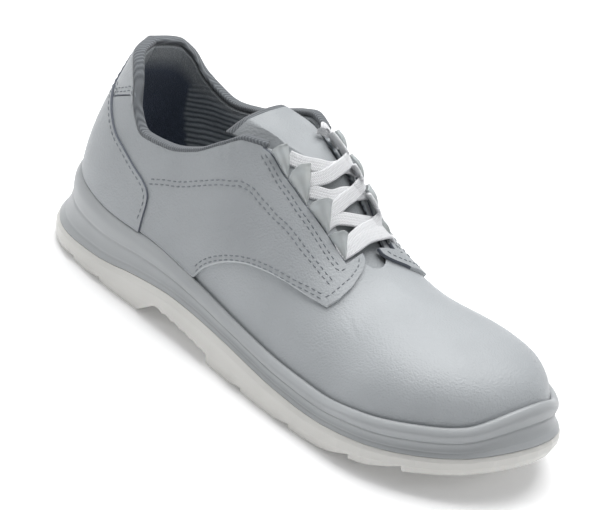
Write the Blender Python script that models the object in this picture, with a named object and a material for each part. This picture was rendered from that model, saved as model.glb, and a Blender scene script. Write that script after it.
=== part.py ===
"""Low-cut safety shoe for the right foot, as an assembly of its real pieces.

Frame: +X runs from heel to toe, +Y to the inner (medial) side, +Z up, ground at Z 0, and the
origin is under the middle of the shoe. The shape is worked out from a last: a plan outline of
the foot and one cross-section curve for each station of that outline. The upper, its panels,
the tongue, the insole and the cup of the midsole are all cut from that same surface.
"""

import math

import bmesh
import bpy
import numpy as np

MM = 0.001

# Driving dimensions of the last.
UPPER_LENGTH = 264.0 * MM
BALL_WIDTH = 98.0 * MM
INSTEP_HEIGHT = 103.0 * MM
SEAT_HEIGHT = 30.0 * MM

# Leather, lining and collar padding.
WALL = 1.6 * MM
COLLAR_PAD = 2.2 * MM
PANEL = 1.2 * MM
COUNTER = 2.2 * MM
GAP = 0.3 * MM
PIPING_HEIGHT = 3.0 * MM
INSOLE = 4.0 * MM
TONGUE = 3.0 * MM

# Throat: half the gap between the two lacing ledges, the shift of its middle to the inner side,
# where its rounded end starts and stops, and the place around the last from which the vamp is
# closed.
LEDGE_GAP = 12.0 * MM
THROAT_SHIFT = 1.5 * MM
THROAT_BEND = 0.560
THROAT_END = 0.635
VAMP_START = 0.700

# Sole unit: how far it stands proud of the upper, and the depths of its tread.
HEEL_OVERHANG = 10.0 * MM
SIDE_OVERHANG = 5.5 * MM
TOE_OVERHANG = 8.0 * MM
RIM = 3.4 * MM
BULGE = 1.0 * MM
ARCH_RISE = 9.0 * MM
TOE_SPRING = 15.0 * MM
LUG_DEPTH = 3.0 * MM

# Last, one row for each station from the heel (row 1) to the tip of the toe. At is the place of
# the foot of the section along the upper, outer and inner its half widths in ball widths. The
# section ends on the crown line: crown_at, crown_outer, crown_inner and crown_height give that
# end in upper lengths, ball widths and instep heights. Flare is the outward lean at the foot and
# lean the direction at the crown, 90 upright and 0 flat, both in degrees. The pulls are the
# lengths of the curve's two handles as shares of its chord.
LAST_COLUMNS = ("at", "outer", "inner", "crown_at", "crown_outer", "crown_inner",
                "crown_height", "flare", "lean", "low_pull", "high_pull")
LAST_ROWS = (
    (0.000, 0.000, 0.000, 0.035, -0.035, 0.035, 1.037, 10.0, 78.0, 0.36, 0.34),
    (0.035, 0.220, 0.215, 0.055, 0.107, 0.183, 1.027, 9.0, 78.0, 0.36, 0.34),
    (0.120, 0.324, 0.316, 0.120, 0.232, 0.293, 0.892, 7.0, 78.0, 0.36, 0.34),
    (0.250, 0.376, 0.326, 0.240, 0.244, 0.290, 0.871, 3.0, 72.0, 0.36, 0.34),
    (0.380, 0.410, 0.313, 0.345, 0.213, 0.247, 1.003, 2.0, 62.0, 0.36, 0.32),
    (0.500, 0.459, 0.346, 0.460, 0.080, 0.080, 0.954, 2.0, 30.0, 0.36, 0.28),
    (0.620, 0.504, 0.430, 0.570, 0.000, 0.000, 0.705, 4.0, 0.0, 0.38, 0.38),
    (0.740, 0.527, 0.493, 0.675, 0.000, 0.000, 0.580, 6.0, 0.0, 0.40, 0.42),
    (0.840, 0.515, 0.490, 0.765, -0.010, 0.010, 0.562, 6.0, 0.0, 0.42, 0.50),
    (0.915, 0.411, 0.418, 0.830, -0.030, 0.030, 0.552, 6.0, 0.0, 0.42, 0.56),
    (0.972, 0.233, 0.275, 0.830, -0.030, 0.030, 0.552, 5.0, 0.0, 0.42, 0.56),
    (1.000, -0.045, 0.045, 0.830, -0.030, 0.030, 0.552, 4.0, 0.0, 0.42, 0.56),
)
LAST = {name: [row[i] for row in LAST_ROWS] for i, name in enumerate(LAST_COLUMNS)}

# Heights along the upper, in seat heights: the floor of the cup, the rim of the midsole, the
# joint between midsole and outsole, and the lift of the tread, in toe springs.
SOLE_COLUMNS = ("at", "floor", "rim", "joint", "lift")
SOLE_ROWS = (
    (0.000, 0.95, 1.32, 0.40, 0.10),
    (0.050, 0.93, 1.22, 0.34, 0.00),
    (0.150, 0.91, 1.12, 0.39, 0.00),
    (0.250, 0.86, 1.14, 0.55, 0.00),
    (0.350, 0.77, 1.06, 0.63, 0.00),
    (0.500, 0.62, 0.90, 0.58, 0.00),
    (0.640, 0.52, 0.81, 0.47, 0.00),
    (0.720, 0.54, 0.80, 0.44, 0.02),
    (0.815, 0.62, 0.91, 0.52, 0.30),
    (0.900, 0.74, 1.04, 0.62, 0.58),
    (0.960, 0.84, 1.13, 0.72, 0.80),
    (1.000, 0.92, 1.38, 0.86, 1.05),
)
SOLE = {name: [row[i] for row in SOLE_ROWS] for i, name in enumerate(SOLE_COLUMNS)}

# Side wall of the sole, from the rim down: the share of the way from the rim to the joint, and
# the distance from the upper as a share of the rim's width plus a share of the overhang.
SOLE_WALL = (
    (0.00, 0.45, 0.00),
    (0.06, 1.00, 0.00),
    (0.22, 1.35, 0.00),
    (0.40, 1.20, 0.05),
    (0.50, 0.95, 0.20),
    (0.75, 0.45, 0.55),
    (1.00, 0.00, 1.00),
)

# Tread, along the upper: the heel's breast, the waist, and the wedge cut in front of each lug.
HEEL_BREAST = 0.262
WAIST_START = 0.307
WAIST_END = 0.456
WAIST_RIBS = 6
WAIST_RIB_DEPTH = 0.8 * MM
LUG_STARTS = (0.086, 0.164, 0.556, 0.683, 0.820, 0.910)
LUG_RUN = 0.060
TREAD_CHANNEL = 3.0 * MM
TREAD_CHANNEL_AT = 0.17

# Heel and toe axes of the sole, about which its plan outline turns.
HEEL_AXIS = 0.155
TOE_AXIS = 0.830

# Faces of the upper from its foot to its top edge.
UPPER_ROWS = 10

# Clearances between panel edges, as shares around and up, and above the lip of the midsole.
EDGE_CLEAR = 0.008
LIP_CLEAR = 1.4 * MM
CLOSED_UP = 0.996

# Collar piping: where it ends around the collar, and its section as half widths and heights.
PIPING_END = 0.410
PIPING_SECTION = ((-1.0, 0.0), (1.0, 0.0), (1.0, 0.55), (0.6, 1.0), (-0.6, 1.0), (-1.0, 0.55))
PIPING_GAP = 0.5 * MM

# Tongue: its half width under the ledges, its front end under the vamp, the place where it
# leaves the ledges, and its top edge from side to side in instep heights (side, x, y, z).
TONGUE_HALF = 19.0 * MM
TONGUE_FRONT = 0.70
TONGUE_FREE = 0.440
TONGUE_TOP = ((-1.0, -0.5, 0.0, 0.5, 1.0), (0.76, 0.80, 0.82, 0.81, 0.78),
              (-0.19, -0.11, 0.0, 0.10, 0.17), (0.90, 0.985, 1.015, 1.005, 0.93))

# Lace loops: their places along the upper, the middle of the ledge from the throat's middle,
# span as a share of the ledge, rise, wall as a share of it, and half length around the last.
LOOP_AT = (0.434, 0.484, 0.536, 0.582)
LOOP_MIDDLE = 15.6 * MM
LOOP_REACH = 0.86
LOOP_RISE = 7.0 * MM
LOOP_WALL = 0.26
LOOP_HALF = 0.017

# Flat lace: thickness, half width around the loop, how far to the sides a crossing reaches,
# its lift off the tongue at the sides, that of the bar at the bottom, and its bow in the middle.
LACE = 1.6 * MM
LACE_STEP = 0.015
LACE_HALF = 0.011
LACE_SIDE = 0.50
LACE_LIFT = 0.35 * MM
BAR_LIFT = 4.6 * MM
LACE_BOW = 1.0 * MM
BAR_AHEAD = 0.024

# Top line of the finished collar, by the place around the outline (0 heel, 1 toe), in instep
# heights on the outer and on the inner side.
TOPLINE_COLUMNS = ("at", "outer", "inner")
TOPLINE_ROWS = (
    (0.000, 0.990, 0.990),
    (0.070, 0.985, 0.975),
    (0.100, 0.965, 0.930),
    (0.130, 0.905, 0.835),
    (0.155, 0.805, 0.795),
    (0.190, 0.735, 0.775),
    (0.240, 0.750, 0.808),
    (0.300, 0.812, 0.885),
    (0.350, 0.905, 0.950),
    (0.390, 0.970, 0.985),
    (0.425, 0.975, 0.970),
    (0.480, 0.960, 0.950),
)
TOPLINE = {name: [row[i] for row in TOPLINE_ROWS] for i, name in enumerate(TOPLINE_COLUMNS)}

# Free edge of the heel counter: at each share of the way up the section, how far around from
# the heel it reaches, and the columns of its sheet.
COUNTER_UP = (0.31, 0.385, 0.44, 0.51, 0.585, 0.63, 0.68, 0.75, 0.84)
COUNTER_REACH = (0.245, 0.242, 0.232, 0.195, 0.150, 0.095, 0.062, 0.050, 0.044)
COUNTER_AT = (0.000, 0.015, 0.030, 0.044, 0.050, 0.056, 0.062, 0.078, 0.095, 0.113, 0.131, 0.150,
              0.165, 0.180, 0.195, 0.214, 0.232, 0.242, 0.245)
# Lower edge of the heel tab: at each place around from the heel, its share of the way up.
TAB_AT = (0.000, 0.044, 0.054, 0.066, 0.090, 0.105, 0.125, 0.147)
TAB_UP = (0.860, 0.860, 0.760, 0.680, 0.645, 0.705, 0.810, 0.930)
# Lower edge of the quarter in front of its foot, an arch over the vamp, and its front edge
# around the end of the facing.
ARCH_AT = (0.365, 0.385, 0.403, 0.425, 0.458, 0.492, 0.547, 0.590, 0.623)
ARCH_UP = (0.075, 0.185, 0.245, 0.300, 0.350, 0.380, 0.445, 0.495, 0.535)
FRONT_AT = (0.608, 0.612, 0.614, 0.623, 0.633, 0.638)
FRONT_LOW = (0.508, 0.516, 0.525, 0.537, 0.620, 0.730)
FRONT_HIGH = (0.880, 0.935, 0.930, 0.870, 0.750)
# Cut edge of the quarter beside the ledge.
CUT_AT = (0.400, 0.425, 0.465, 0.512, 0.562, 0.600)
CUT_UP = (0.940, 0.920, 0.825, 0.775, 0.790, 0.795)
# Columns of the quarter: over the counter's top, then from its upright edge to the front end.
QUARTER_AT = (0.100, 0.249, 0.254, 0.560, 0.638)
COLLAR_END = 0.400


def monotone(at, values):
    """Smooth curve through a table that never swings past its rows."""
    at, values = np.asarray(at, float), np.asarray(values, float)
    step = np.diff(at)
    slope = np.diff(values) / step
    tangent = np.zeros(len(at))
    for i in range(1, len(at) - 1):
        if slope[i - 1] * slope[i] > 0:
            before, after = step[i - 1], step[i]
            weight_a, weight_b = 2 * after + before, after + 2 * before
            tangent[i] = (weight_a + weight_b) / (weight_a / slope[i - 1] + weight_b / slope[i])
    tangent[0], tangent[-1] = slope[0], slope[-1]

    def curve(x):
        x = np.clip(np.asarray(x, float), at[0], at[-1])
        i = np.clip(np.searchsorted(at, x, side="right") - 1, 0, len(at) - 2)
        h = step[i]
        u = (x - at[i]) / h
        return (values[i] * (1 + 2 * u) * (1 - u) ** 2 + tangent[i] * h * u * (1 - u) ** 2
                + values[i + 1] * u * u * (3 - 2 * u) + tangent[i + 1] * h * u * u * (u - 1))

    return curve


def closed_spline(at, values, period):
    """Cubic spline around a closed loop, with its slope."""
    at, values = np.asarray(at, float), np.asarray(values, float)
    count = len(at)
    step = np.diff(np.append(at, at[0] + period))
    rise = np.diff(np.append(values, values[0])) / step
    matrix, right = np.zeros((count, count)), np.zeros(count)
    for i in range(count):
        matrix[i, i - 1] += step[i - 1]
        matrix[i, i] += 2 * (step[i - 1] + step[i])
        matrix[i, (i + 1) % count] += step[i]
        right[i] = 6 * (rise[i] - rise[i - 1])
    bend = np.linalg.solve(matrix, right)

    def curve(x):
        x = np.mod(np.asarray(x, float) - at[0], period) + at[0]
        i = np.clip(np.searchsorted(at, x, side="right") - 1, 0, count - 1)
        j = (i + 1) % count
        h, a = step[i], x - at[i]
        b = h - a
        place = (bend[i] * b ** 3 + bend[j] * a ** 3) / (6 * h)
        place += (values[i] / h - bend[i] * h / 6) * b + (values[j] / h - bend[j] * h / 6) * a
        slope = (bend[j] * a ** 2 - bend[i] * b ** 2) / (2 * h)
        slope += (values[j] - values[i]) / h - (bend[j] - bend[i]) * h / 6
        return place, slope

    return curve


def outline_spline():
    """Plan outline of the last: around the loop, 0 is the heel, 1 the toe tip, 2 the heel."""
    x = np.array(LAST["at"]) * UPPER_LENGTH
    outer = -np.array(LAST["outer"]) * BALL_WIDTH
    inner = np.array(LAST["inner"]) * BALL_WIDTH
    half = 0.5 * (inner - outer)
    run = np.concatenate([[0.0], np.cumsum(np.hypot(np.diff(x), np.diff(half)))])
    run /= run[-1]
    around = np.concatenate([run, 2.0 - run[-2:0:-1]])
    return (run, closed_spline(around, np.concatenate([x, x[-2:0:-1]]), 2.0),
            closed_spline(around, np.concatenate([outer, inner[-2:0:-1]]), 2.0))


RUN, OUTLINE_X, OUTLINE_Y = outline_spline()
COLUMN = {name: monotone(RUN, LAST[name]) for name in LAST_COLUMNS[3:]}
SOLE_CURVE = {name: monotone(SOLE["at"], SOLE[name]) for name in SOLE_COLUMNS[1:]}


def ridge_slope(x):
    """Fall of the closed ridge of the vamp at a place along it."""
    rows = [i for i in range(len(RUN)) if abs(LAST["crown_outer"][i] + LAST["crown_inner"][i]) < 1e-9]
    rows = [i for i in rows if 0 < i and (i == rows[-1] or LAST["crown_at"][i] < LAST["crown_at"][i + 1])]
    at = np.array([LAST["crown_at"][i] for i in rows]) * UPPER_LENGTH
    height = np.array([LAST["crown_height"][i] for i in rows]) * INSTEP_HEIGHT
    keep = np.concatenate([[True], np.diff(at) > 0])
    slope = np.gradient(height[keep], at[keep])
    return np.interp(x, at[keep], slope)


def height_of(name, x):
    """A height of the sole table, at a place along the upper."""
    return SOLE_CURVE[name](x / UPPER_LENGTH) * SEAT_HEIGHT


def foot_and_crown(around):
    """Ends and handles of the section curves at places around the loop."""
    around = np.mod(np.asarray(around, float), 2.0)
    share = np.minimum(around, 2.0 - around)
    outer = around <= 1.0
    x, slope_x = OUTLINE_X(around)
    y, slope_y = OUTLINE_Y(around)
    run = np.hypot(slope_x, slope_y)
    normal_x, normal_y = slope_y / run, -slope_x / run
    foot = np.stack([x, y, height_of("floor", x)], -1)
    gap = np.where(outer, -COLUMN["crown_outer"](share), COLUMN["crown_inner"](share))
    crown = np.stack([COLUMN["crown_at"](share) * UPPER_LENGTH, gap * BALL_WIDTH,
                      COLUMN["crown_height"](share) * INSTEP_HEIGHT], -1)
    chord = np.linalg.norm(crown - foot, axis=-1)
    plan = (foot - crown)[..., :2]
    plan /= np.linalg.norm(plan, axis=-1, keepdims=True)
    flare = np.radians(COLUMN["flare"](share))
    lean = np.radians(COLUMN["lean"](share))
    low = (COLUMN["low_pull"](share) * chord)[..., None] * np.stack(
        [np.sin(flare) * normal_x, np.sin(flare) * normal_y, np.cos(flare)], -1)
    fall = ridge_slope(crown[..., 0]) * plan[..., 0] * np.cos(lean)
    high = (COLUMN["high_pull"](share) * chord)[..., None] * np.stack(
        [np.cos(lean) * plan[..., 0], np.cos(lean) * plan[..., 1], fall - np.sin(lean)], -1)
    return foot, foot + low, crown + high, crown


def last_point(around, up):
    """Point of the last's surface: around its loop, and up from the foot (0) to the crown (1)."""
    around, up = np.broadcast_arrays(np.asarray(around, float), np.asarray(up, float))
    a, b, c, d = foot_and_crown(around)
    t = up[..., None]
    return (1 - t) ** 3 * a + 3 * t * (1 - t) ** 2 * b + 3 * t * t * (1 - t) * c + t ** 3 * d


def last_normal(around, up):
    """Outward normal of the last's surface."""
    small = 0.002
    around, up = np.broadcast_arrays(np.asarray(around, float), np.asarray(up, float))
    inside = np.clip(up, 0.0, 1.0 - 2 * small)
    along = last_point(around + small, inside) - last_point(around - small, inside)
    rise = last_point(around, inside + small) - last_point(around, inside - small)
    normal = np.cross(along, rise)
    normal /= np.linalg.norm(normal, axis=-1, keepdims=True)
    return normal


def off_last(around, up, out):
    """Point at a distance out from the last's surface."""
    return last_point(around, up) + np.asarray(out)[..., None] * last_normal(around, up)


def inside_last(around, up, depth):
    """Point at a depth inside the last's surface, straight below it near the closed ridge."""
    share = np.minimum(np.mod(around, 2.0), 2.0 - np.mod(around, 2.0))
    level = np.clip((up - 0.55) / 0.4, 0.0, 1.0) * np.clip((share - 0.52) / 0.05, 0.0, 1.0)
    way = (1.0 - level)[..., None] * last_normal(around, up) + level[..., None] * np.array([0.0, 0.0, 1.0])
    way /= np.linalg.norm(way, axis=-1, keepdims=True)
    return last_point(around, up) - np.asarray(depth)[..., None] * way


def bisect(function, low, high):
    """Place where a falling function crosses zero, for arrays of brackets."""
    low, high = np.array(low, float), np.array(high, float)
    for _ in range(32):
        middle = 0.5 * (low + high)
        above = function(middle) > 0
        low = np.where(above, middle, low)
        high = np.where(above, high, middle)
    return 0.5 * (low + high)


def side_of(around):
    """Share of the way from heel to toe, and True on the outer side."""
    around = np.mod(np.asarray(around, float), 2.0)
    return np.minimum(around, 2.0 - around), around <= 1.0


def collar_up(around, drop):
    """Way up to the collar's top line, less a drop."""
    share, outer = side_of(around)
    top = np.where(outer, TOPLINE_CURVE["outer"](share), TOPLINE_CURVE["inner"](share))
    target = top * INSTEP_HEIGHT - drop

    def short(up):
        return target - last_point(around, up)[..., 2]

    return bisect(short, np.full(share.shape, 0.3), np.ones(share.shape))


def throat_up(around, gap):
    """Way up to the edge of the throat, a slot in plan with a rounded front end."""
    share, outer = side_of(around)
    bend, end = THROAT_BEND * UPPER_LENGTH, THROAT_END * UPPER_LENGTH

    def outside(up):
        point = last_point(around, up)
        past = np.clip((point[..., 0] - bend) / (end - bend), 0.0, 1.0)
        half = gap * np.sqrt(1.0 - past ** 2)
        return np.where(outer, -1.0, 1.0) * (point[..., 1] - THROAT_SHIFT * (half / gap)) - half

    return bisect(outside, np.full(share.shape, 0.3), np.ones(share.shape))


def across_up(around, gap, shift=0.0):
    """Way up to a distance from the middle of the throat, or to the crown where that is wider."""
    _, outer = side_of(around)

    def outside(up):
        return np.where(outer, -1.0, 1.0) * (last_point(around, up)[..., 1] - shift) - gap

    shape = np.broadcast(around, gap).shape
    return bisect(outside, np.full(shape, 0.3), np.ones(shape))


def top_up(around, drop=0.0, gap=LEDGE_GAP):
    """Way up to the upper's edge: the collar, then the throat, then the closed ridge."""
    share, _ = side_of(around)
    collar = np.where(share < TOPLINE["at"][-1], collar_up(around, drop), 1.0)
    slot = (share > TOPLINE["at"][-3]) & (share < VAMP_START)
    throat = np.where(slot, throat_up(around, gap), 1.0)
    edge = np.minimum(collar, throat)
    return np.where(edge > 1.0 - 1e-6, 1.0, edge)


TOPLINE_CURVE = {name: monotone(TOPLINE["at"], TOPLINE[name]) for name in TOPLINE_COLUMNS[1:]}
TAB_EDGE = monotone(TAB_AT, TAB_UP)


def wall_depth(around, up):
    """Thickness of the upper's wall: thicker where the collar is padded."""
    share, _ = side_of(around)
    fade = np.clip((0.46 - share) / 0.08, 0.0, 1.0)
    high = np.clip((up - 0.45) / 0.3, 0.0, 1.0)
    return WALL + COLLAR_PAD * fade * high * high * (3 - 2 * high)


class Body:
    """Mesh of one closed piece, built from quads and triangles of shared corners."""

    def __init__(self, name):
        self.name = name
        self.mesh = bmesh.new()

    def corners(self, points):
        points = np.asarray(points, float) - ORIGIN
        flat = [self.mesh.verts.new(p) for p in points.reshape(-1, 3)]
        grid = np.empty(len(flat), dtype=object)
        grid[:] = flat
        return grid.reshape(points.shape[:-1])

    def face(self, *corners):
        self.mesh.faces.new(corners)

    def sheet(self, grid, turned=False):
        """Quads over a grid of corners."""
        for i in range(grid.shape[0] - 1):
            for j in range(grid.shape[1] - 1):
                ring = (grid[i, j], grid[i + 1, j], grid[i + 1, j + 1], grid[i, j + 1])
                self.face(*(ring[::-1] if turned else ring))

    def finish(self, colour, roughness):
        """Weld, triangulate, turn outwards and hand the piece to the scene."""
        mesh = self.mesh
        bmesh.ops.remove_doubles(mesh, verts=mesh.verts, dist=1e-6)
        bmesh.ops.triangulate(mesh, faces=mesh.faces[:], quad_method="SHORT_EDGE")
        bmesh.ops.recalc_face_normals(mesh, faces=mesh.faces[:])
        if mesh.calc_volume(signed=True) < 0:
            bmesh.ops.reverse_faces(mesh, faces=mesh.faces[:])
        data = bpy.data.meshes.new(self.name)
        mesh.to_mesh(data)
        mesh.free()
        data.shade_smooth()
        data.set_sharp_from_angle(angle=math.radians(40.0))
        piece = bpy.data.objects.new(self.name, data)
        bpy.context.scene.collection.objects.link(piece)
        data.materials.append(finish_of(self.name, colour, roughness))
        return piece


def finish_of(name, colour, roughness):
    """Material of one piece, from its sRGB colour in hex."""
    levels = [int(colour[i:i + 2], 16) / 255 for i in (0, 2, 4)]
    linear = [c / 12.92 if c <= 0.04045 else ((c + 0.055) / 1.055) ** 2.4 for c in levels]
    material = bpy.data.materials.new(name)
    material.use_nodes = True
    shader = material.node_tree.nodes["Principled BSDF"]
    shader.inputs["Base Color"].default_value = (*linear, 1.0)
    shader.inputs["Roughness"].default_value = roughness
    shader.inputs["Metallic"].default_value = 0.0
    material.diffuse_color = (*linear, 1.0)
    return material


def stations(marks, counts):
    """Places around the whole loop, evenly spaced between the marks of one side."""
    side = [marks[0]]
    for low, high, count in zip(marks, marks[1:], counts):
        side.extend(low + (high - low) * (i + 1) / count for i in range(count))
    side = np.array(side)
    return np.concatenate([side, 2.0 - side[-2:0:-1]])


AROUND = stations((0.0, 0.155, 0.43, 0.47, 0.60, 0.665, 0.774, 0.844, 1.0), (8, 9, 2, 5, 3, 3, 2, 5))


def wrapped(rows):
    """Rows of a loop with the first one again at the end."""
    return np.concatenate([rows, rows[:1]])


def foot_plan(around, out):
    """Plan point at a distance out from the foot of the sections."""
    foot = foot_and_crown(around)[0]
    small = 0.001
    ahead = foot_and_crown(around + small)[0]
    behind = foot_and_crown(around - small)[0]
    run = (ahead - behind)[..., :2]
    run /= np.linalg.norm(run, axis=-1, keepdims=True)
    normal = np.stack([run[..., 1], -run[..., 0]], -1)
    return foot[..., :2] + np.asarray(out)[..., None] * normal


def rim_up(around):
    """Way up the section to the rim of the midsole."""
    target = height_of("rim", foot_and_crown(around)[0][..., 0])

    def short(up):
        return target - last_point(around, up)[..., 2]

    return bisect(short, np.zeros(np.shape(around)), np.full(np.shape(around), 0.6))


def spine(around):
    """Middle line of the sole that each section runs to."""
    x = foot_and_crown(around)[0][..., 0]
    x = np.clip(x, HEEL_AXIS * UPPER_LENGTH, TOE_AXIS * UPPER_LENGTH)
    return x


def upper():
    """Closed on the vamp, open at the collar, at the throat and underneath."""
    body = Body("upper")
    top = top_up(AROUND, PIPING_HEIGHT)
    count = len(AROUND)
    mirror = (count - np.arange(count)) % count
    closed = (top > CLOSED_UP) & (top[mirror] > CLOSED_UP)
    top = np.where(closed, 1.0, top)
    rows = np.linspace(0.0, 1.0, UPPER_ROWS + 1)
    up = top[:, None] * rows
    around = np.repeat(AROUND[:, None], UPPER_ROWS + 1, axis=1)
    outer = last_point(around, up)
    inner = inside_last(around, up, wall_depth(around, up))
    ridge = foot_and_crown(AROUND)[3]
    single = inner[:, -1].copy()
    for i in np.flatnonzero(closed):
        twins = closed & (np.linalg.norm(ridge - ridge[i], axis=1) < 0.01 * MM)
        inner[i, -1] = single[twins].mean(axis=0)
        outer[i, -1] = ridge[np.flatnonzero(twins)[0]]
    outer_grid = body.corners(outer)
    inner_grid = body.corners(inner)
    body.sheet(wrapped(outer_grid))
    body.sheet(wrapped(inner_grid), turned=True)
    body.sheet(wrapped(np.stack([inner_grid[:, 0], outer_grid[:, 0]], 1)))
    for i in range(count):
        j = (i + 1) % count
        if not (closed[i] and closed[j]):
            body.face(outer_grid[i, -1], outer_grid[j, -1], inner_grid[j, -1], inner_grid[i, -1])
    return body.finish("b4b8ba", 0.5)


def loop_body(name, rings, colour, roughness):
    """Closed piece from rings around the loop; the first and last ring lie on the spine."""
    body = Body(name)
    grid = body.corners(np.stack(rings, 1))
    body.sheet(wrapped(grid))
    return body.finish(colour, roughness)


def level_ring(plan, height):
    """Ring from plan points and heights."""
    return np.concatenate([plan, np.asarray(height)[..., None]], -1)


def spine_ring(around, height):
    """Ring that lies on the spine at a height along it."""
    x = spine(around)
    return np.stack([x, np.zeros_like(x), height(x)], -1)


def midsole():
    """Cup with a rounded rim, a crease below it and a hollow side that widens to the joint."""
    foot_x = foot_and_crown(AROUND)[0][..., 0]
    floor, rim, joint = (height_of(name, foot_x) for name in ("floor", "rim", "joint"))
    rim_at = rim_up(AROUND)
    overhang = overhang_of(foot_x)
    rings = [spine_ring(AROUND, lambda x: height_of("floor", x) - GAP),
             level_ring(foot_plan(AROUND, np.full(len(AROUND), GAP)), floor - GAP)]
    for share in (0.5, 1.0):
        rings.append(off_last(AROUND, share * rim_at, np.full(len(AROUND), GAP)))
    rim_plan = rings[-1][:, :2]
    outward = foot_plan(AROUND, np.ones(len(AROUND))) - foot_plan(AROUND, np.zeros(len(AROUND)))
    foot = foot_plan(AROUND, np.zeros(len(AROUND)))
    for drop, rim_out, joint_out in SOLE_WALL:
        near = rim_plan + rim_out * RIM * outward
        far = foot + overhang[:, None] * outward
        blend = joint_out
        plan = near * (1 - blend) + far * blend
        rise = 0.5 * MM if drop == 0.0 else 0.0
        rings.append(level_ring(plan, rim + (joint - rim) * drop + rise))
    rings.append(spine_ring(AROUND, lambda x: height_of("joint", x)))
    return loop_body("midsole", rings, "a5a8aa", 0.45)


def overhang_of(x):
    """How far the joint of the sole stands proud of the foot of the upper."""
    share = x / UPPER_LENGTH
    table = monotone((0.0, 0.12, 0.30, 0.75, 0.92, 1.0),
                     (HEEL_OVERHANG, SIDE_OVERHANG * 1.1, SIDE_OVERHANG, SIDE_OVERHANG,
                      SIDE_OVERHANG * 1.1, TOE_OVERHANG))
    return table(share)


def outsole():
    """Tread with a bulged side, a heel block, an arched waist and lugs with wedge cuts."""
    foot_x = foot_and_crown(AROUND)[0][..., 0]
    joint = height_of("joint", foot_x) - GAP
    lift = SOLE_CURVE["lift"](foot_x / UPPER_LENGTH) * TOE_SPRING
    overhang = overhang_of(foot_x)
    rings = [spine_ring(AROUND, lambda x: height_of("joint", x) - GAP)]
    edge = ((0.0, 0.0), (0.18, BULGE), (0.55, 0.8 * BULGE), (0.93, -0.8 * BULGE), (1.0, -2.0 * BULGE))
    for drop, out in edge:
        rings.append(level_ring(foot_plan(AROUND, overhang + out), joint + (lift - joint) * drop))
    rings.append(spine_ring(AROUND, lambda x: SOLE_CURVE["lift"](x / UPPER_LENGTH) * TOE_SPRING))
    piece = loop_body("outsole", rings, "b6b6b5", 0.42)
    for cutter in [waist_cutter()] + [wedge_cutter(start) for start in LUG_STARTS] + channel_cutters():
        cut = piece.modifiers.new(cutter.name, "BOOLEAN")
        cut.operation = "DIFFERENCE"
        cut.solver = "EXACT"
        cut.object = cutter
    return piece


def prism(name, profile, low, high):
    """Cutter drawn in the side view and run across the sole."""
    body = Body(name)
    near = body.corners(np.array([(x, low, z) for x, z in profile]))
    far = body.corners(np.array([(x, high, z) for x, z in profile]))
    count = len(profile)
    for i in range(count):
        j = (i + 1) % count
        body.face(near[i], near[j], far[j], far[i])
    body.face(*near[::-1])
    body.face(*far)
    piece = body.finish("808080", 0.5)
    piece.hide_render = True
    piece.display_type = "WIRE"
    return piece


def waist_cutter():
    """Room under the waist: a leaning breast, an arch with shallow ribs, and the forefoot's step."""
    length = UPPER_LENGTH
    start, end = WAIST_START * length, WAIST_END * length
    below = -LUG_DEPTH
    profile = [(HEEL_BREAST * length, below), (HEEL_BREAST * length, 0.0)]
    steps = WAIST_RIBS * 4
    for i in range(steps + 1):
        share = i / steps
        arch = ARCH_RISE * (1.0 - 0.42 * share ** 1.5)
        rib = WAIST_RIB_DEPTH * abs(math.sin(math.pi * WAIST_RIBS * share))
        profile.append((start + (end - start) * share, arch + rib))
    profile += [(end + 0.002 * length, 0.0), (end + 0.002 * length, below)]
    return prism("waist_cutter", profile, -BALL_WIDTH, BALL_WIDTH)


def wedge_cutter(start):
    """Sloping cut that ends in an upright step, the rear face of the next lug."""
    front = start * UPPER_LENGTH
    rear = front - LUG_RUN * UPPER_LENGTH
    lift_front = float(SOLE_CURVE["lift"](start) * TOE_SPRING)
    lift_rear = float(SOLE_CURVE["lift"](rear / UPPER_LENGTH) * TOE_SPRING)
    top = lift_front + LUG_DEPTH
    profile = [(rear, lift_rear - 0.2 * MM), (rear, -LUG_DEPTH), (front, -LUG_DEPTH), (front, top)]
    return prism("lug_cutter_%03d" % round(1000 * start), profile, -BALL_WIDTH, BALL_WIDTH)


def channel_cutters():
    """Channels along the tread on both sides of its middle, in the forefoot and in the heel."""
    cutters = []
    for side in (-1, 1):
        middle = side * TREAD_CHANNEL_AT * BALL_WIDTH
        for name, low, high in (("heel", 0.06, 0.22), ("front", 0.50, 0.86)):
            profile = []
            steps = 6
            for i in range(steps + 1):
                share = low + (high - low) * i / steps
                lift = float(SOLE_CURVE["lift"](share) * TOE_SPRING)
                profile.append((share * UPPER_LENGTH, lift + 0.8 * LUG_DEPTH))
            profile += [(high * UPPER_LENGTH, -LUG_DEPTH), (low * UPPER_LENGTH, -LUG_DEPTH)]
            label = "channel_cutter_%s_%d" % (name, 1 + (side > 0))
            cutters.append(prism(label, profile, middle - TREAD_CHANNEL / 2, middle + TREAD_CHANNEL / 2))
    return cutters


def insole():
    """Foam footbed that fills the cup inside the upper's wall."""
    foot_x = foot_and_crown(AROUND)[0][..., 0]
    floor = height_of("floor", foot_x)
    edge = foot_plan(AROUND, np.full(len(AROUND), -(WALL + 2 * GAP)))
    rings = [spine_ring(AROUND, lambda x: height_of("floor", x) + INSOLE),
             level_ring(edge, floor + INSOLE), level_ring(edge, floor),
             spine_ring(AROUND, lambda x: height_of("floor", x))]
    return loop_body("insole", rings, "3a3f47", 0.9)


def shell(name, around, up, near, far, colour, roughness):
    """Sheet between two distances from the last, over a grid of its surface."""
    body = Body(name)
    top = body.corners(off_last(around, up, far))
    bottom = body.corners(off_last(around, up, near))
    body.sheet(top)
    body.sheet(bottom, turned=True)
    for side in (np.s_[0], np.s_[-1], np.s_[:, 0], np.s_[:, -1]):
        body.sheet(np.stack([top[side], bottom[side]], 1))
    return body.finish(colour, roughness)


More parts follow.
